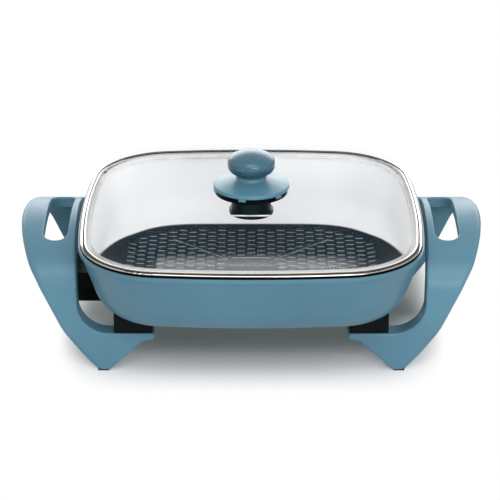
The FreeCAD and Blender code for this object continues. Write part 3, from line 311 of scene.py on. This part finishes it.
def band_finish():
    """Bright rolled stainless; the lower part of the upright outer side is painted black, as painted shade for the
    dark gap behind the lip.
    """
    finish = Finish("rolled_stainless")
    spot = finish.place()
    x, y, z = finish.parts(spot)
    normal_x, normal_y, _ = finish.facing()
    outward = (normal_x * x + normal_y * y).above(0.0)
    # Painted shade on the lower part of the outward-facing side
    painted_shade = (1.0 - z.ramp(*BAND_PAINTED_SHADE)) * outward
    lines = finish.noise(finish.stretched(spot, *BAND_STRETCH), *DRAWN_LINES)
    clouds = finish.noise(spot, *METAL_CLOUDS)
    bright = finish.mix(clouds.ramp(*DULLED), *STAINLESS)
    gloss = BAND_ROUGHNESS + lines * BAND_LINES_ROUGHER + clouds * BAND_DULL_ROUGHER
    return finish.done(finish.shader(Base_Color=finish.mix(painted_shade, bright, PAINTED_GAP_SHADE),
                                     Metallic=1.0, Roughness=gloss,
                                     Normal=finish.bump(lines, *METAL_BUMP)))


PAINT_ROUGHNESS = 0.34
PAINT_CLOUDS_ROUGHER = 0.05
PAINT_IOR = 1.47
LINING_ROUGHNESS = 0.4
LINING_WORN_ROUGHER = 0.1
LINING_SPECULAR = 0.03
# The lining is on what faces up and lies below this height; the lid's ledge has no pale ring
LINING_UP = 0.02
LINING_TOP = 116.4 * MM
LEDGE = 115.7 * MM
# The pale ring starts where an oval ends. Its middle lies to the front, and it reaches
# further to the rear.
RING_MIDDLE = -50.0 * MM
RING_SIDE = 137.8 * MM
RING_SIDE_POWER = 5.5
RING_REAR = 158.2 * MM
RING_FRONT = 58.0 * MM
RING_END_POWER = 2.0
RING_STARTS = (0.97, 1.02)
# From here outwards the ring is painted lighter, for the side walls that get less light
RING_PAINTED_LIGHT_SIDES = (100.0 * MM, 138.0 * MM)


def pan_finish():
    """Grey-blue baked paint outside; inside a dark lining with a paler ring up the walls, painted lighter on the
    left and right walls.
    """
    finish = Finish("baked_paint_and_lining")
    spot = finish.place()
    x, y, z = finish.parts(spot)
    _, _, up = finish.facing()
    inside = up.above(LINING_UP) * (1.0 - z.above(LINING_TOP))
    clouds = finish.noise(spot, *PAINT_CLOUDS)
    paint = finish.mix(clouds.ramp(*CLOUDED), *PAN_BLUE)
    worn = finish.noise(spot, *WORN_SPOTS)
    dark = finish.mix(worn.ramp(*WORN), *LINING_DARK)
    reach = RING_FRONT + y.above(RING_MIDDLE) * (RING_REAR - RING_FRONT)
    across = (abs(x) / RING_SIDE) ** RING_SIDE_POWER
    along = (abs(y - RING_MIDDLE) / reach) ** RING_END_POWER
    pale = (across + along).ramp(*RING_STARTS) * (1.0 - z.above(LEDGE))
    ring = finish.mix(abs(x).ramp(*RING_PAINTED_LIGHT_SIDES), RING_PALE, RING_PAINTED_LIGHT)
    base = finish.mix(inside, paint, finish.mix(pale, dark, ring))
    grain = finish.bump(finish.noise(spot, *PAINT_GRAIN), *PAINT_BUMP)
    painted = finish.shader(Base_Color=base, IOR=PAINT_IOR, Normal=grain,
                            Roughness=PAINT_ROUGHNESS + clouds * PAINT_CLOUDS_ROUGHER)
    lined = finish.shader(Base_Color=base, Specular_IOR_Level=LINING_SPECULAR, Normal=grain,
                          Roughness=LINING_ROUGHNESS + worn * LINING_WORN_ROUGHER)
    return finish.done(finish.blend(inside, painted, lined))


# How squarely an edge must face the front or the rear before its painted highlight shows
HIGHLIGHT_FACING = (0.45, 0.6)
RAISED_WORN_ROUGHER = 0.08
RAISED_SPECULAR = 0.04


def lining_finish(name, least, spread):
    """The dark lining of the raised pattern, worn on its tops. Its front and rear edges carry a painted highlight,
    uneven: by the least share and by up to the spread more."""
    finish = Finish(name)
    spot = finish.place()
    worn = finish.noise(spot, *WORN_SPOTS)
    top = finish.mix(worn.ramp(*WORN), *LINING_DARK)
    # Painted highlight on the edges that face the front or the rear
    painted_edge_light = abs(finish.facing()[1]).ramp(*HIGHLIGHT_FACING)
    broken = finish.noise(spot, *BROKEN_EDGES)
    base = finish.mix(painted_edge_light * (least + broken * spread), top, EDGE_PAINTED_HIGHLIGHT)
    grain = finish.noise(spot, *PAINT_GRAIN)
    return finish.done(finish.shader(Base_Color=base,
                                     Roughness=LINING_ROUGHNESS + worn * RAISED_WORN_ROUGHER,
                                     Specular_IOR_Level=RAISED_SPECULAR,
                                     Normal=finish.bump(grain, *LINING_BUMP)))


# How much the glass mirrors: everywhere, on the steep shoulder, and where it is grazed
FILM_LEAST = 0.001
FILM_SHOULDER = 0.007
FILM_GRAZING = 0.25
GRAZING_POWER = 18.0
SHOULDER_UP = (0.75, 0.97)
# The milky ground edge, whose white is also painted reflection along the shoulder's foot, ends between these
# heights and, outside, towards the rear
GROUND_OUTSIDE = (121.0 * MM, 123.0 * MM)
GROUND_INSIDE = (120.5 * MM, 121.1 * MM)
GROUND_REAR = (50.0 * MM, 100.0 * MM)
GROUND_AND_REFLECTION_SHARE = 0.75
# Painted reflection: the milky edge's grey at the front and near-white at the rear
GROUND_AND_REFLECTION_GREY = (0.8, 0.81, 0.8, 1.0)
GROUND_AND_REFLECTION_WHITE = (0.99, 0.99, 0.99, 1.0)
GROUND_ROUGHNESS = 0.6
GROUND_SPECULAR = 0.1
# The painted reflection on the front of the shoulder begins at the front and ends at the left and at the right
PAINTED_REFLECTION_LEFT = (76.0 * MM, 82.0 * MM)
PAINTED_REFLECTION_RIGHT = (60.0 * MM, 104.0 * MM)
PAINTED_REFLECTION_FRONT = (128.0 * MM, 139.0 * MM)
PAINTED_REFLECTION_LEAST = 0.045
PAINTED_REFLECTION_SPREAD = 0.075
CLEAR_TINT = (0.985, 0.987, 0.991, 1.0)
MIRROR_TINT = (0.95, 0.97, 0.98, 1.0)
MIRROR_ROUGHNESS = 0.03
SMEARS_ROUGHER = 0.06


def glass_finish():
    """Clear tempered glass: see-through, with a faint film of reflection, milky ground edges just above the band
    whose white is also painted reflection, and a milky, uneven painted reflection on the front of the shoulder."""
    finish = Finish("clear_glass")
    spot = finish.place()
    x, y, z = finish.parts(spot)
    normal_x, normal_y, up = finish.facing()
    outward = (normal_x * x + normal_y * y).above(0.0)
    smears = finish.noise(spot, *GLASS_SMEARS)
    reflection_breakup = finish.noise(spot, *REFLECTION_BREAKUP)
    grazing = finish.node("LayerWeight", None, {"Blend": 0.5}, "Facing")
    shoulder = 1.0 - abs(up).ramp(*SHOULDER_UP)
    film = FILM_LEAST + shoulder * FILM_SHOULDER + grazing ** GRAZING_POWER * FILM_GRAZING
    outside = (1.0 - z.ramp(*GROUND_OUTSIDE)) * (1.0 - y.ramp(*GROUND_REAR)) * outward
    inside = (1.0 - z.ramp(*GROUND_INSIDE)) * (1.0 - outward)
    # Painted reflection on the front of the shoulder, laid on as milky white
    aside = (0.0 - x).ramp(*PAINTED_REFLECTION_LEFT).larger(x.ramp(*PAINTED_REFLECTION_RIGHT))
    front_painted_reflection = (0.0 - y).ramp(*PAINTED_REFLECTION_FRONT) * (1.0 - aside) * outward
    milky_and_reflection_share = outside.larger(inside) * GROUND_AND_REFLECTION_SHARE
    milky_and_reflection_share = milky_and_reflection_share.larger(front_painted_reflection * (PAINTED_REFLECTION_LEAST + reflection_breakup * PAINTED_REFLECTION_SPREAD))
    mirror = finish.shader(Base_Color=MIRROR_TINT, Metallic=1.0,
                           Roughness=MIRROR_ROUGHNESS + smears.ramp(*SMEARED) * SMEARS_ROUGHER)
    painted_edge_light = finish.mix(y.ramp(*GROUND_REAR), GROUND_AND_REFLECTION_GREY, GROUND_AND_REFLECTION_WHITE)
    milky_and_painted_reflection = finish.shader(Base_Color=painted_edge_light, Roughness=GROUND_ROUGHNESS,
                          Specular_IOR_Level=GROUND_SPECULAR)
    clear = finish.node("BsdfTransparent", None, {"Color": CLEAR_TINT})
    return finish.done(finish.blend(milky_and_reflection_share, finish.blend(film, clear, mirror), milky_and_painted_reflection))


# Heights of the painted highlight at the plate's middle; it rises towards the front
PAINTED_HIGHLIGHT_LEVEL = (112.8 * MM, 114.2 * MM)
PAINTED_HIGHLIGHT_SLOPE = math.tan(math.radians(VIEW_ANGLE))
SEAT_ROUGHNESS = 0.3
SEAT_CLOUDS_ROUGHER = 0.05
SEAT_SPECULAR = 0.15


def seat_finish():
    """Black moulding with a painted highlight, a white line that slants over the foot of the plate under the
    glass, so that it is straight as the camera sees it."""
    finish = Finish("black_moulding_painted_highlight")
    spot = finish.place()
    _, y, z = finish.parts(spot)
    grain = finish.noise(spot, *MOULD_GRAIN)
    clouds = finish.noise(spot, *FLOW_CLOUDS)
    low, high = PAINTED_HIGHLIGHT_LEVEL
    # Painted highlight: a band of heights, tilted by the view angle
    level = z + y * PAINTED_HIGHLIGHT_SLOPE
    painted_highlight = level.above(low) * (1.0 - level.above(high))
    base = finish.mix(clouds.ramp(*CLOUDED), *SEAT_BLACK)
    return finish.done(finish.shader(Base_Color=finish.mix(painted_highlight, base, PAINTED_HIGHLIGHT_WHITE),
                                     Roughness=SEAT_ROUGHNESS + clouds * SEAT_CLOUDS_ROUGHER,
                                     Specular_IOR_Level=SEAT_SPECULAR,
                                     Normal=finish.bump(grain, *MOULD_BUMP)))


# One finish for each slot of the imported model, and the pieces that have one of their own
finishes = {
    "blue_enamel": pan_finish(),
    "blue_moulding": moulded("blue_moulding", HANDLE_BLUE, roughness=0.38, Specular_IOR_Level=0.3),
    "black_plastic": moulded("black_moulding", SHELL_BLACK, roughness=0.34, Specular_IOR_Level=0.1),
    "dial_black": moulded("dial_moulding", DIAL_BLACK, roughness=0.3),
    "stainless": band_finish(),
    "steel": metal("machined_steel", STEEL, roughness=0.28),
    "guard_steel": metal("pressed_sheet", SHEET_STEEL, roughness=0.34, stretch=(1.0, 12.0, 12.0)),
    "clear_glass": glass_finish(),
    "brass": metal("turned_brass", BRASS, roughness=0.26),
    "ceramic": plain("unglazed_ceramic", CERAMIC, roughness=0.6),
    "rubber": plain("foot_rubber", RUBBER, roughness=0.7),
    "silicone": plain("black_silicone", SILICONE, roughness=0.5, Specular_IOR_Level=0.12),
    "amber": plain("amber_lens", AMBER, roughness=0.12),
    "lamp_glass": plain("lamp_bulb", BULB, roughness=0.1),
}
own_finishes = {
    "knob_cap": moulded("cap_moulding", CAP_BLUE, roughness=0.26, Specular_IOR_Level=0.42),
    "knob_grip": moulded("grip_moulding", GRIP_BLUE, roughness=0.26, Specular_IOR_Level=0.35),
    "lid_seat": seat_finish(),
    "knob_skirt": moulded("skirt_moulding", SKIRT_BLUE, roughness=0.3, Specular_IOR_Level=0.42),
    "vent_base": moulded("vent_moulding", VENT_BLACK, roughness=0.3, Specular_IOR_Level=0.06),
}
slots = {part["node"]: part["material_slot"] for part in frame["record"]["subparts"]}
for name, item in cad.items():
    item.data.materials.clear()
    item.data.materials.append(own_finishes.get(name) or finishes[slots[name]])


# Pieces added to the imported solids

def linked(name, data):
    """A new object in the scene, of a mesh, text, light or camera."""
    item = bpy.data.objects.new(name, data)
    bpy.context.scene.collection.objects.link(item)
    return item


def meshed(name, mesh, material):
    """A new object of a mesh that was built here, in one finish."""
    data = bpy.data.meshes.new(name)
    mesh.to_mesh(data)
    mesh.free()
    data.materials.append(material)
    return linked(name, data)


def mesh_piece(name, mesh, material, body):
    mesh.normal_update()
    item = meshed(name, mesh, material)
    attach(item, body)


def add_ring(mesh, outline, height):
    """The corners of an outline at a height."""
    return [mesh.verts.new((x, y, height)) for x, y in outline]


def join_rings(mesh, ring, following):
    """The faces between two rings with the same number of corners."""
    for index in range(len(ring)):
        after = (index + 1) % len(ring)
        mesh.faces.new((ring[index], ring[after], following[after], following[index]))


def stack(mesh, *levels):
    """A closed solid through outlines with the same number of points, each at its height."""
    rings = [add_ring(mesh, outline, height) for outline, height in levels]
    mesh.faces.new(rings[0][::-1])
    mesh.faces.new(rings[-1])
    for ring, following in zip(rings, rings[1:]):
        join_rings(mesh, ring, following)


FLOOR = 61.0 * MM
COVE_START = 107.7 * MM
COVE_RADIUS = 30.0 * MM
CELL_COLUMN = 9.31 * MM
CELL_ROW = 9.9 * MM
CELL_FLAT = 7.8 * MM
CELL_FLAT_SHARE = 0.4
CELL_GAP = 0.9 * MM
CELL_RISE = 0.8 * MM
CELL_SINK = 0.3 * MM
PATTERN_HALF = (116.0 * MM, 97.0 * MM)
PATTERN_BORDER = (124.0 * MM, 102.0 * MM)
PATTERN_POWER = 3.0
STRIP_RISE = 1.3 * MM
STRIP_TAPER = 0.7 * STRIP_RISE
ARM_START = Vector((19.0 * MM, 19.2 * MM))
ARM_END = Vector((73.5 * MM, 69.5 * MM))
ARM_HALF = 2.3 * MM
PLAQUE_HALF = (22.0 * MM, 26.0 * MM)
PLAQUE_CORNER = 6.0 * MM
PLAQUE_CORNER_STEPS = 8
PLAQUE_RISE = 0.3 * MM
# How far in from the plaque's edge, and how far above the pan's floor
PLAQUE_LEVELS = ((0.0, -CELL_SINK), (0.9 * MM, STRIP_RISE), (2.1 * MM, STRIP_RISE),
                 (2.9 * MM, PLAQUE_RISE))


def cell(x, y, inset):
    """Corners of one cell, a hexagon whose long sides face the front and the rear."""
    deep = CELL_ROW / 2 - inset
    flat = CELL_FLAT / 2 - inset * CELL_FLAT_SHARE
    reach = CELL_COLUMN - CELL_FLAT / 2 - inset
    return [(x + reach, y), (x + flat, y + deep), (x - flat, y + deep),
            (x - reach, y), (x - flat, y - deep), (x + flat, y - deep)]


def cove_rise(place):
    """How far the pan's inner surface has risen above its flat floor."""
    beyond = max(0.0, abs(place) - COVE_START)
    return COVE_RADIUS - math.sqrt(COVE_RADIUS ** 2 - beyond ** 2)


def cells():
    """The raised cells of the cooking surface, left out under the plaque."""
    mesh = bmesh.new()
    columns = int(PATTERN_HALF[0] / CELL_COLUMN)
    rows = int(PATTERN_HALF[1] / CELL_ROW) + 1
    for across in range(-columns, columns + 1):
        for along in range(-rows, rows + 1):
            x = across * CELL_COLUMN
            y = (along + (across % 2) / 2) * CELL_ROW
            reach = sum((abs(place) / border) ** PATTERN_POWER
                        for place, border in zip((x, y), PATTERN_BORDER))
            if reach > 1 or abs(x) > PATTERN_HALF[0] or abs(y) > PATTERN_HALF[1]:
                continue
            if abs(x) < PLAQUE_HALF[0] and abs(y) < PLAQUE_HALF[1]:
                continue
            stack(mesh, (cell(x, y, CELL_GAP / 2), FLOOR - CELL_SINK),
                  (cell(x, y, CELL_GAP / 2 + CELL_RISE), FLOOR + CELL_RISE))
    for corner in mesh.verts:
        corner.co.z += cove_rise(corner.co.x) + cove_rise(corner.co.y)
    return mesh


def plaque_outline(inset):
    """The plaque's edge, a rectangle with round corners, moved inwards."""
    corner = PLAQUE_CORNER - inset / 2
    points = []
    for quarter, (side, end) in enumerate(((1, 1), (-1, 1), (-1, -1), (1, -1))):
        middle = Vector((side * (PLAQUE_HALF[0] - inset - corner),
                         end * (PLAQUE_HALF[1] - inset - corner)))
        for step in range(PLAQUE_CORNER_STEPS + 1):
            angle = math.pi / 2 * (quarter + step / PLAQUE_CORNER_STEPS)
            points.append(middle + Vector((math.cos(angle), math.sin(angle))) * corner)
    return points


def arm_outline(side, end, inset):
    """One arm's outline, from the plaque out to a corner of the floor, moved inwards."""
    along = (ARM_END - ARM_START).normalized()
    offset = Vector((-along.y, along.x)) * (ARM_HALF - inset)
    tip = ARM_END - along * inset
    corners = [ARM_START - offset, tip - offset, tip + offset, ARM_START + offset]
    return [(side * corner.x, end * corner.y) for corner in corners]


def strips():
    """A plain plaque with a raised border, and four narrow arms out from its corners."""
    mesh = bmesh.new()
    stack(mesh, *((plaque_outline(inset), FLOOR + rise) for inset, rise in PLAQUE_LEVELS))
    for side in (-1, 1):
        for end in (-1, 1):
            stack(mesh, (arm_outline(side, end, 0.0), FLOOR - CELL_SINK),
                  (arm_outline(side, end, STRIP_TAPER), FLOOR + STRIP_RISE))
    bmesh.ops.recalc_face_normals(mesh, faces=mesh.faces)
    return mesh


RIM_HALF = 152.4 * MM
RIM_SIDE_RADIUS = 832.0 * MM
RIM_CORNER_RADIUS = 74.0 * MM
RIM_ARC_STEPS = 24
BAND_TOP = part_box("lid_band")[1].z
JOINT_RING_FOOT = BAND_TOP - 0.9 * MM
JOINT_RING_TOP = BAND_TOP + 0.25 * MM
# Insets from the rim at the left and right sides, and what the front and the rear add
JOINT_RING_OUTER = (3.3 * MM, -2.3 * MM, -1.3 * MM)
JOINT_RING_INNER = (4.2 * MM, -0.1 * MM, 1.8 * MM)
JOINT_RING_FRONT_SLOPE = 2.8
JOINT_RING_REAR_POWER = 1.3


def rim_outline(inset, front, rear):
    """The rim's plan: four shallow side arcs and four corner arcs, moved inwards, with a
    further inset that grows from the left and right sides to the front and to the rear."""
    side_centre = RIM_HALF - RIM_SIDE_RADIUS
    apart = RIM_SIDE_RADIUS - RIM_CORNER_RADIUS
    corner_centre = (side_centre + math.sqrt(2 * apart ** 2 - side_centre ** 2)) / 2
    side_turn = math.atan2(corner_centre, corner_centre - side_centre)
    arcs = (((side_centre, 0.0), RIM_SIDE_RADIUS, -side_turn, side_turn),
            ((corner_centre, corner_centre), RIM_CORNER_RADIUS, side_turn,
             math.pi / 2 - side_turn))
    points = []
    for quarter in range(4):
        turn = math.pi / 2 * quarter
        turned = Matrix.Rotation(turn, 2)
        for centre, radius, start, end in arcs:
            for step in range(RIM_ARC_STEPS):
                angle = start + (end - start) * step / RIM_ARC_STEPS
                away = math.sin(angle + turn)
                if away > 0:
                    more = rear * away ** JOINT_RING_REAR_POWER
                else:
                    more = front * min(1.0, -away * JOINT_RING_FRONT_SLOPE)
                ray = Vector((math.cos(angle), math.sin(angle))) * (radius - inset - more)
                points.append(turned @ (Vector(centre) + ray))
    return points


def seal():
    """A thin black ring along the joint between the band and the glass, which gives the dark line there."""
    mesh = bmesh.new()
    rings = [add_ring(mesh, rim_outline(*insets), height)
             for insets, height in ((JOINT_RING_OUTER, JOINT_RING_FOOT), (JOINT_RING_OUTER, JOINT_RING_TOP),
                                    (JOINT_RING_INNER, JOINT_RING_TOP), (JOINT_RING_INNER, JOINT_RING_FOOT))]
    for ring, following in zip(rings, rings[1:] + rings[:1]):
        join_rings(mesh, ring, following)
    bmesh.ops.recalc_face_normals(mesh, faces=mesh.faces)
    return mesh


DIAL_MIDDLE = Vector(joints["dial_turn"]["pos_m"][:2])
DIAL_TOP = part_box("temperature_dial")[1].z
DIAL_FLANGE = DIAL_TOP - 7.0 * MM
# Degrees round the dial, from +X towards +Y
DIAL_START = 225.0
DIAL_STEP = 27.0
DIAL_STEPS = 10
# Where a mark begins and ends from the dial's middle, half its width, and the face it is on
POINTER = (3.0 * MM, 11.0 * MM, 0.6 * MM, DIAL_TOP)
STROKE = (12.9 * MM, 14.1 * MM, 0.3 * MM, DIAL_FLANGE)
MARK_RISE = 0.25 * MM
NUMBER_RING = 9.4 * MM
NUMBER_SIZE = 3.2 * MM


def dial_ray(step):
    """The way from the dial's middle to a heat step."""
    angle = math.radians(DIAL_START - DIAL_STEP * step)
    return Vector((math.cos(angle), math.sin(angle)))


def dial_marks():
    """A pointer line on the dial's top and ten short strokes on the flange round it."""
    mesh = bmesh.new()
    for step in range(DIAL_STEPS + 1):
        ray = dial_ray(step)
        aside = Vector((-ray.y, ray.x))
        inner, outer, half, face = STROKE if step else POINTER
        corners = [DIAL_MIDDLE + ray * reach + aside * side * half
                   for reach, side in ((inner, -1), (outer, -1), (outer, 1), (inner, 1))]
        stack(mesh, (corners, face - MARK_RISE), (corners, face + MARK_RISE))
    return mesh


def dial_numbers():
    """Heat steps from 1 to 9 round the top of the dial."""
    mesh = bmesh.new()
    for step in range(1, DIAL_STEPS):
        ray = dial_ray(step)
        text = bpy.data.curves.new("number", "FONT")
        text.body = str(step)
        text.size = NUMBER_SIZE
        text.extrude = MARK_RISE
        text.align_x = text.align_y = "CENTER"
        item = linked("number", text)
        shape = bpy.data.meshes.new_from_object(item)
        place = Matrix.Translation((*(DIAL_MIDDLE + ray * NUMBER_RING), DIAL_TOP))
        turn = Matrix.Rotation(math.atan2(ray.y, ray.x) - math.pi / 2, 4, "Z")
        shape.transform(place @ turn)
        mesh.from_mesh(shape)
        bpy.data.objects.remove(item)
        bpy.data.meshes.remove(shape)
    return mesh


mesh_piece("honeycomb_cells", cells(), lining_finish("raised_cells", least=0.55, spread=0.7),
           "cooker")
mesh_piece("floor_strips", strips(), lining_finish("raised_strips", least=0.8, spread=0.3),
           "cooker")
mesh_piece("glass_joint_ring", seal(), finishes["silicone"], "lid")
dial_print = plain("dial_print", DIAL_WHITE, roughness=0.5)
mesh_piece("dial_marks", dial_marks(), dial_print, "dial")
mesh_piece("dial_numbers", dial_numbers(), dial_print, "dial")


# Light, table and camera

ROOM_STRENGTH = 0.74
TABLE_HALF = 6.0
# How far the shadow reaches to the sides, the front and the rear, and how sharply it ends
SHADOW_SIDE = 0.19
SHADOW_SIDE_POWER = 8.0
SHADOW_FRONT = 0.17
SHADOW_FRONT_POWER = 2.0
SHADOW_REAR = 0.3
SHADOW_REAR_POWER = 6.0
SHADOW_DEEPEST = (0.0, 0.14)
SHADOW_ENDS = (0.12, 0.63)
# Painted shadow: the table's colour darkens towards the middle, under the object
PAINTED_SHADOW_DEEP = colour(160, 169, 165)
PAINTED_SHADOW_PALE = colour(236, 236, 236)
# Where painted shadow greys the table behind the gaps: from here out to the sides, and to the rear
PAINTED_SHADOW_SIDE = (0.1, 0.14)
PAINTED_SHADOW_MIDDLE = (0.0, 0.04)
PAINTED_SHADOW_LEFT = colour(203, 206, 204)
PAINTED_SHADOW_RIGHT = colour(150, 154, 152)


def lamp(name, place, target, size, power):
    data = bpy.data.lights.new(name, "AREA")
    data.shape = "RECTANGLE"
    data.size, data.size_y = size
    data.energy = power
    item = linked(name, data)
    item.location = place
    item.visible_camera = False
    item.rotation_euler = (Vector(target) - Vector(place)).to_track_quat("-Z", "Y").to_euler()


def table_finish():
    """White table: it takes the shadow near the object, deepened by painted shadow in its colour, and turns plain
    white further out, with painted shadow behind the gaps at the left and the right, darker at the right."""
    finish = Finish("white_table")
    x, y, _ = finish.parts(finish.place())
    away = (abs(x / SHADOW_SIDE) ** SHADOW_SIDE_POWER
            + (y.smaller(0.0) / SHADOW_FRONT) ** SHADOW_FRONT_POWER
            + (y.larger(0.0) / SHADOW_REAR) ** SHADOW_REAR_POWER)
    painted_shadow = finish.mix(away.ramp(*SHADOW_DEEPEST), PAINTED_SHADOW_DEEP, PAINTED_SHADOW_PALE)
    # Painted shadow on the table behind the gaps
    painted_shadow_behind = abs(x).ramp(*PAINTED_SHADOW_SIDE) * y.ramp(*PAINTED_SHADOW_MIDDLE)
    painted_shadow = finish.mix(painted_shadow_behind, painted_shadow, finish.mix(x.above(0.0), PAINTED_SHADOW_LEFT, PAINTED_SHADOW_RIGHT))
    lit = finish.shader(Base_Color=painted_shadow, Roughness=0.9, Specular_IOR_Level=0.0)
    seen = finish.node("LightPath", output="Is Camera Ray")
    blank = finish.node("Emission", None, {"Color": WHITE, "Strength": 1.0})
    return finish.done(finish.blend(away.ramp(*SHADOW_ENDS) * seen, lit, blank))


def make_table():
    mesh = bmesh.new()
    bmesh.ops.create_grid(mesh, x_segments=1, y_segments=1, size=TABLE_HALF)
    item = meshed("table", mesh, table_finish())


def make_room():
    """Soft room light; the camera, gloss and glass see it as plain white."""
    world = bpy.data.worlds.new("studio")
    bpy.context.scene.world = world
    room = Nodes(world)
    seen = room.node("LightPath", output="Is Camera Ray")
    for ray in ("Is Glossy Ray", "Is Transmission Ray"):
        seen = seen.larger(room.node("LightPath", output=ray))
    strength = ROOM_STRENGTH + seen * (1.0 - ROOM_STRENGTH)
    light = room.node("Background", None, {"Color": WHITE, "Strength": strength})
    room.node("OutputWorld", None, {"Surface": light})


def make_camera(place, down, turn, lens):
    """Stands VIEW_ANGLE degrees above the middle of the lid's rim, 1.72 m away from it, and is
    aimed the given degrees down and aside."""
    data = bpy.data.cameras.new("camera")
    data.sensor_width = 36.0
    data.lens = lens
    data.clip_start, data.clip_end = 0.05, 50.0
    item = linked("camera", data)
    item.location = place
    item.rotation_euler = (math.radians(90.0 - down), 0.0, math.radians(turn))
    bpy.context.scene.camera = item


lamp("front_softbox", place=(0.0, -0.85, 0.95), target=(0.0, 0.0, 0.08), size=(0.8, 0.7),
     power=6.1)
lamp("rear_glow", place=(0.0, 1.5, 0.6), target=(0.0, 0.0, 0.15), size=(2.6, 0.95), power=22.0)
lamp("right_fill", place=(0.6, -1.7, 0.34), target=(0.0, 0.0, 0.08), size=(1.0, 0.5),
     power=12.0)
make_table()
make_room()
make_camera(place=(0.0, -1.5985, 0.7663), down=23.247, turn=0.042, lens=137.3)
bpy.context.scene.view_settings.view_transform = "Standard"
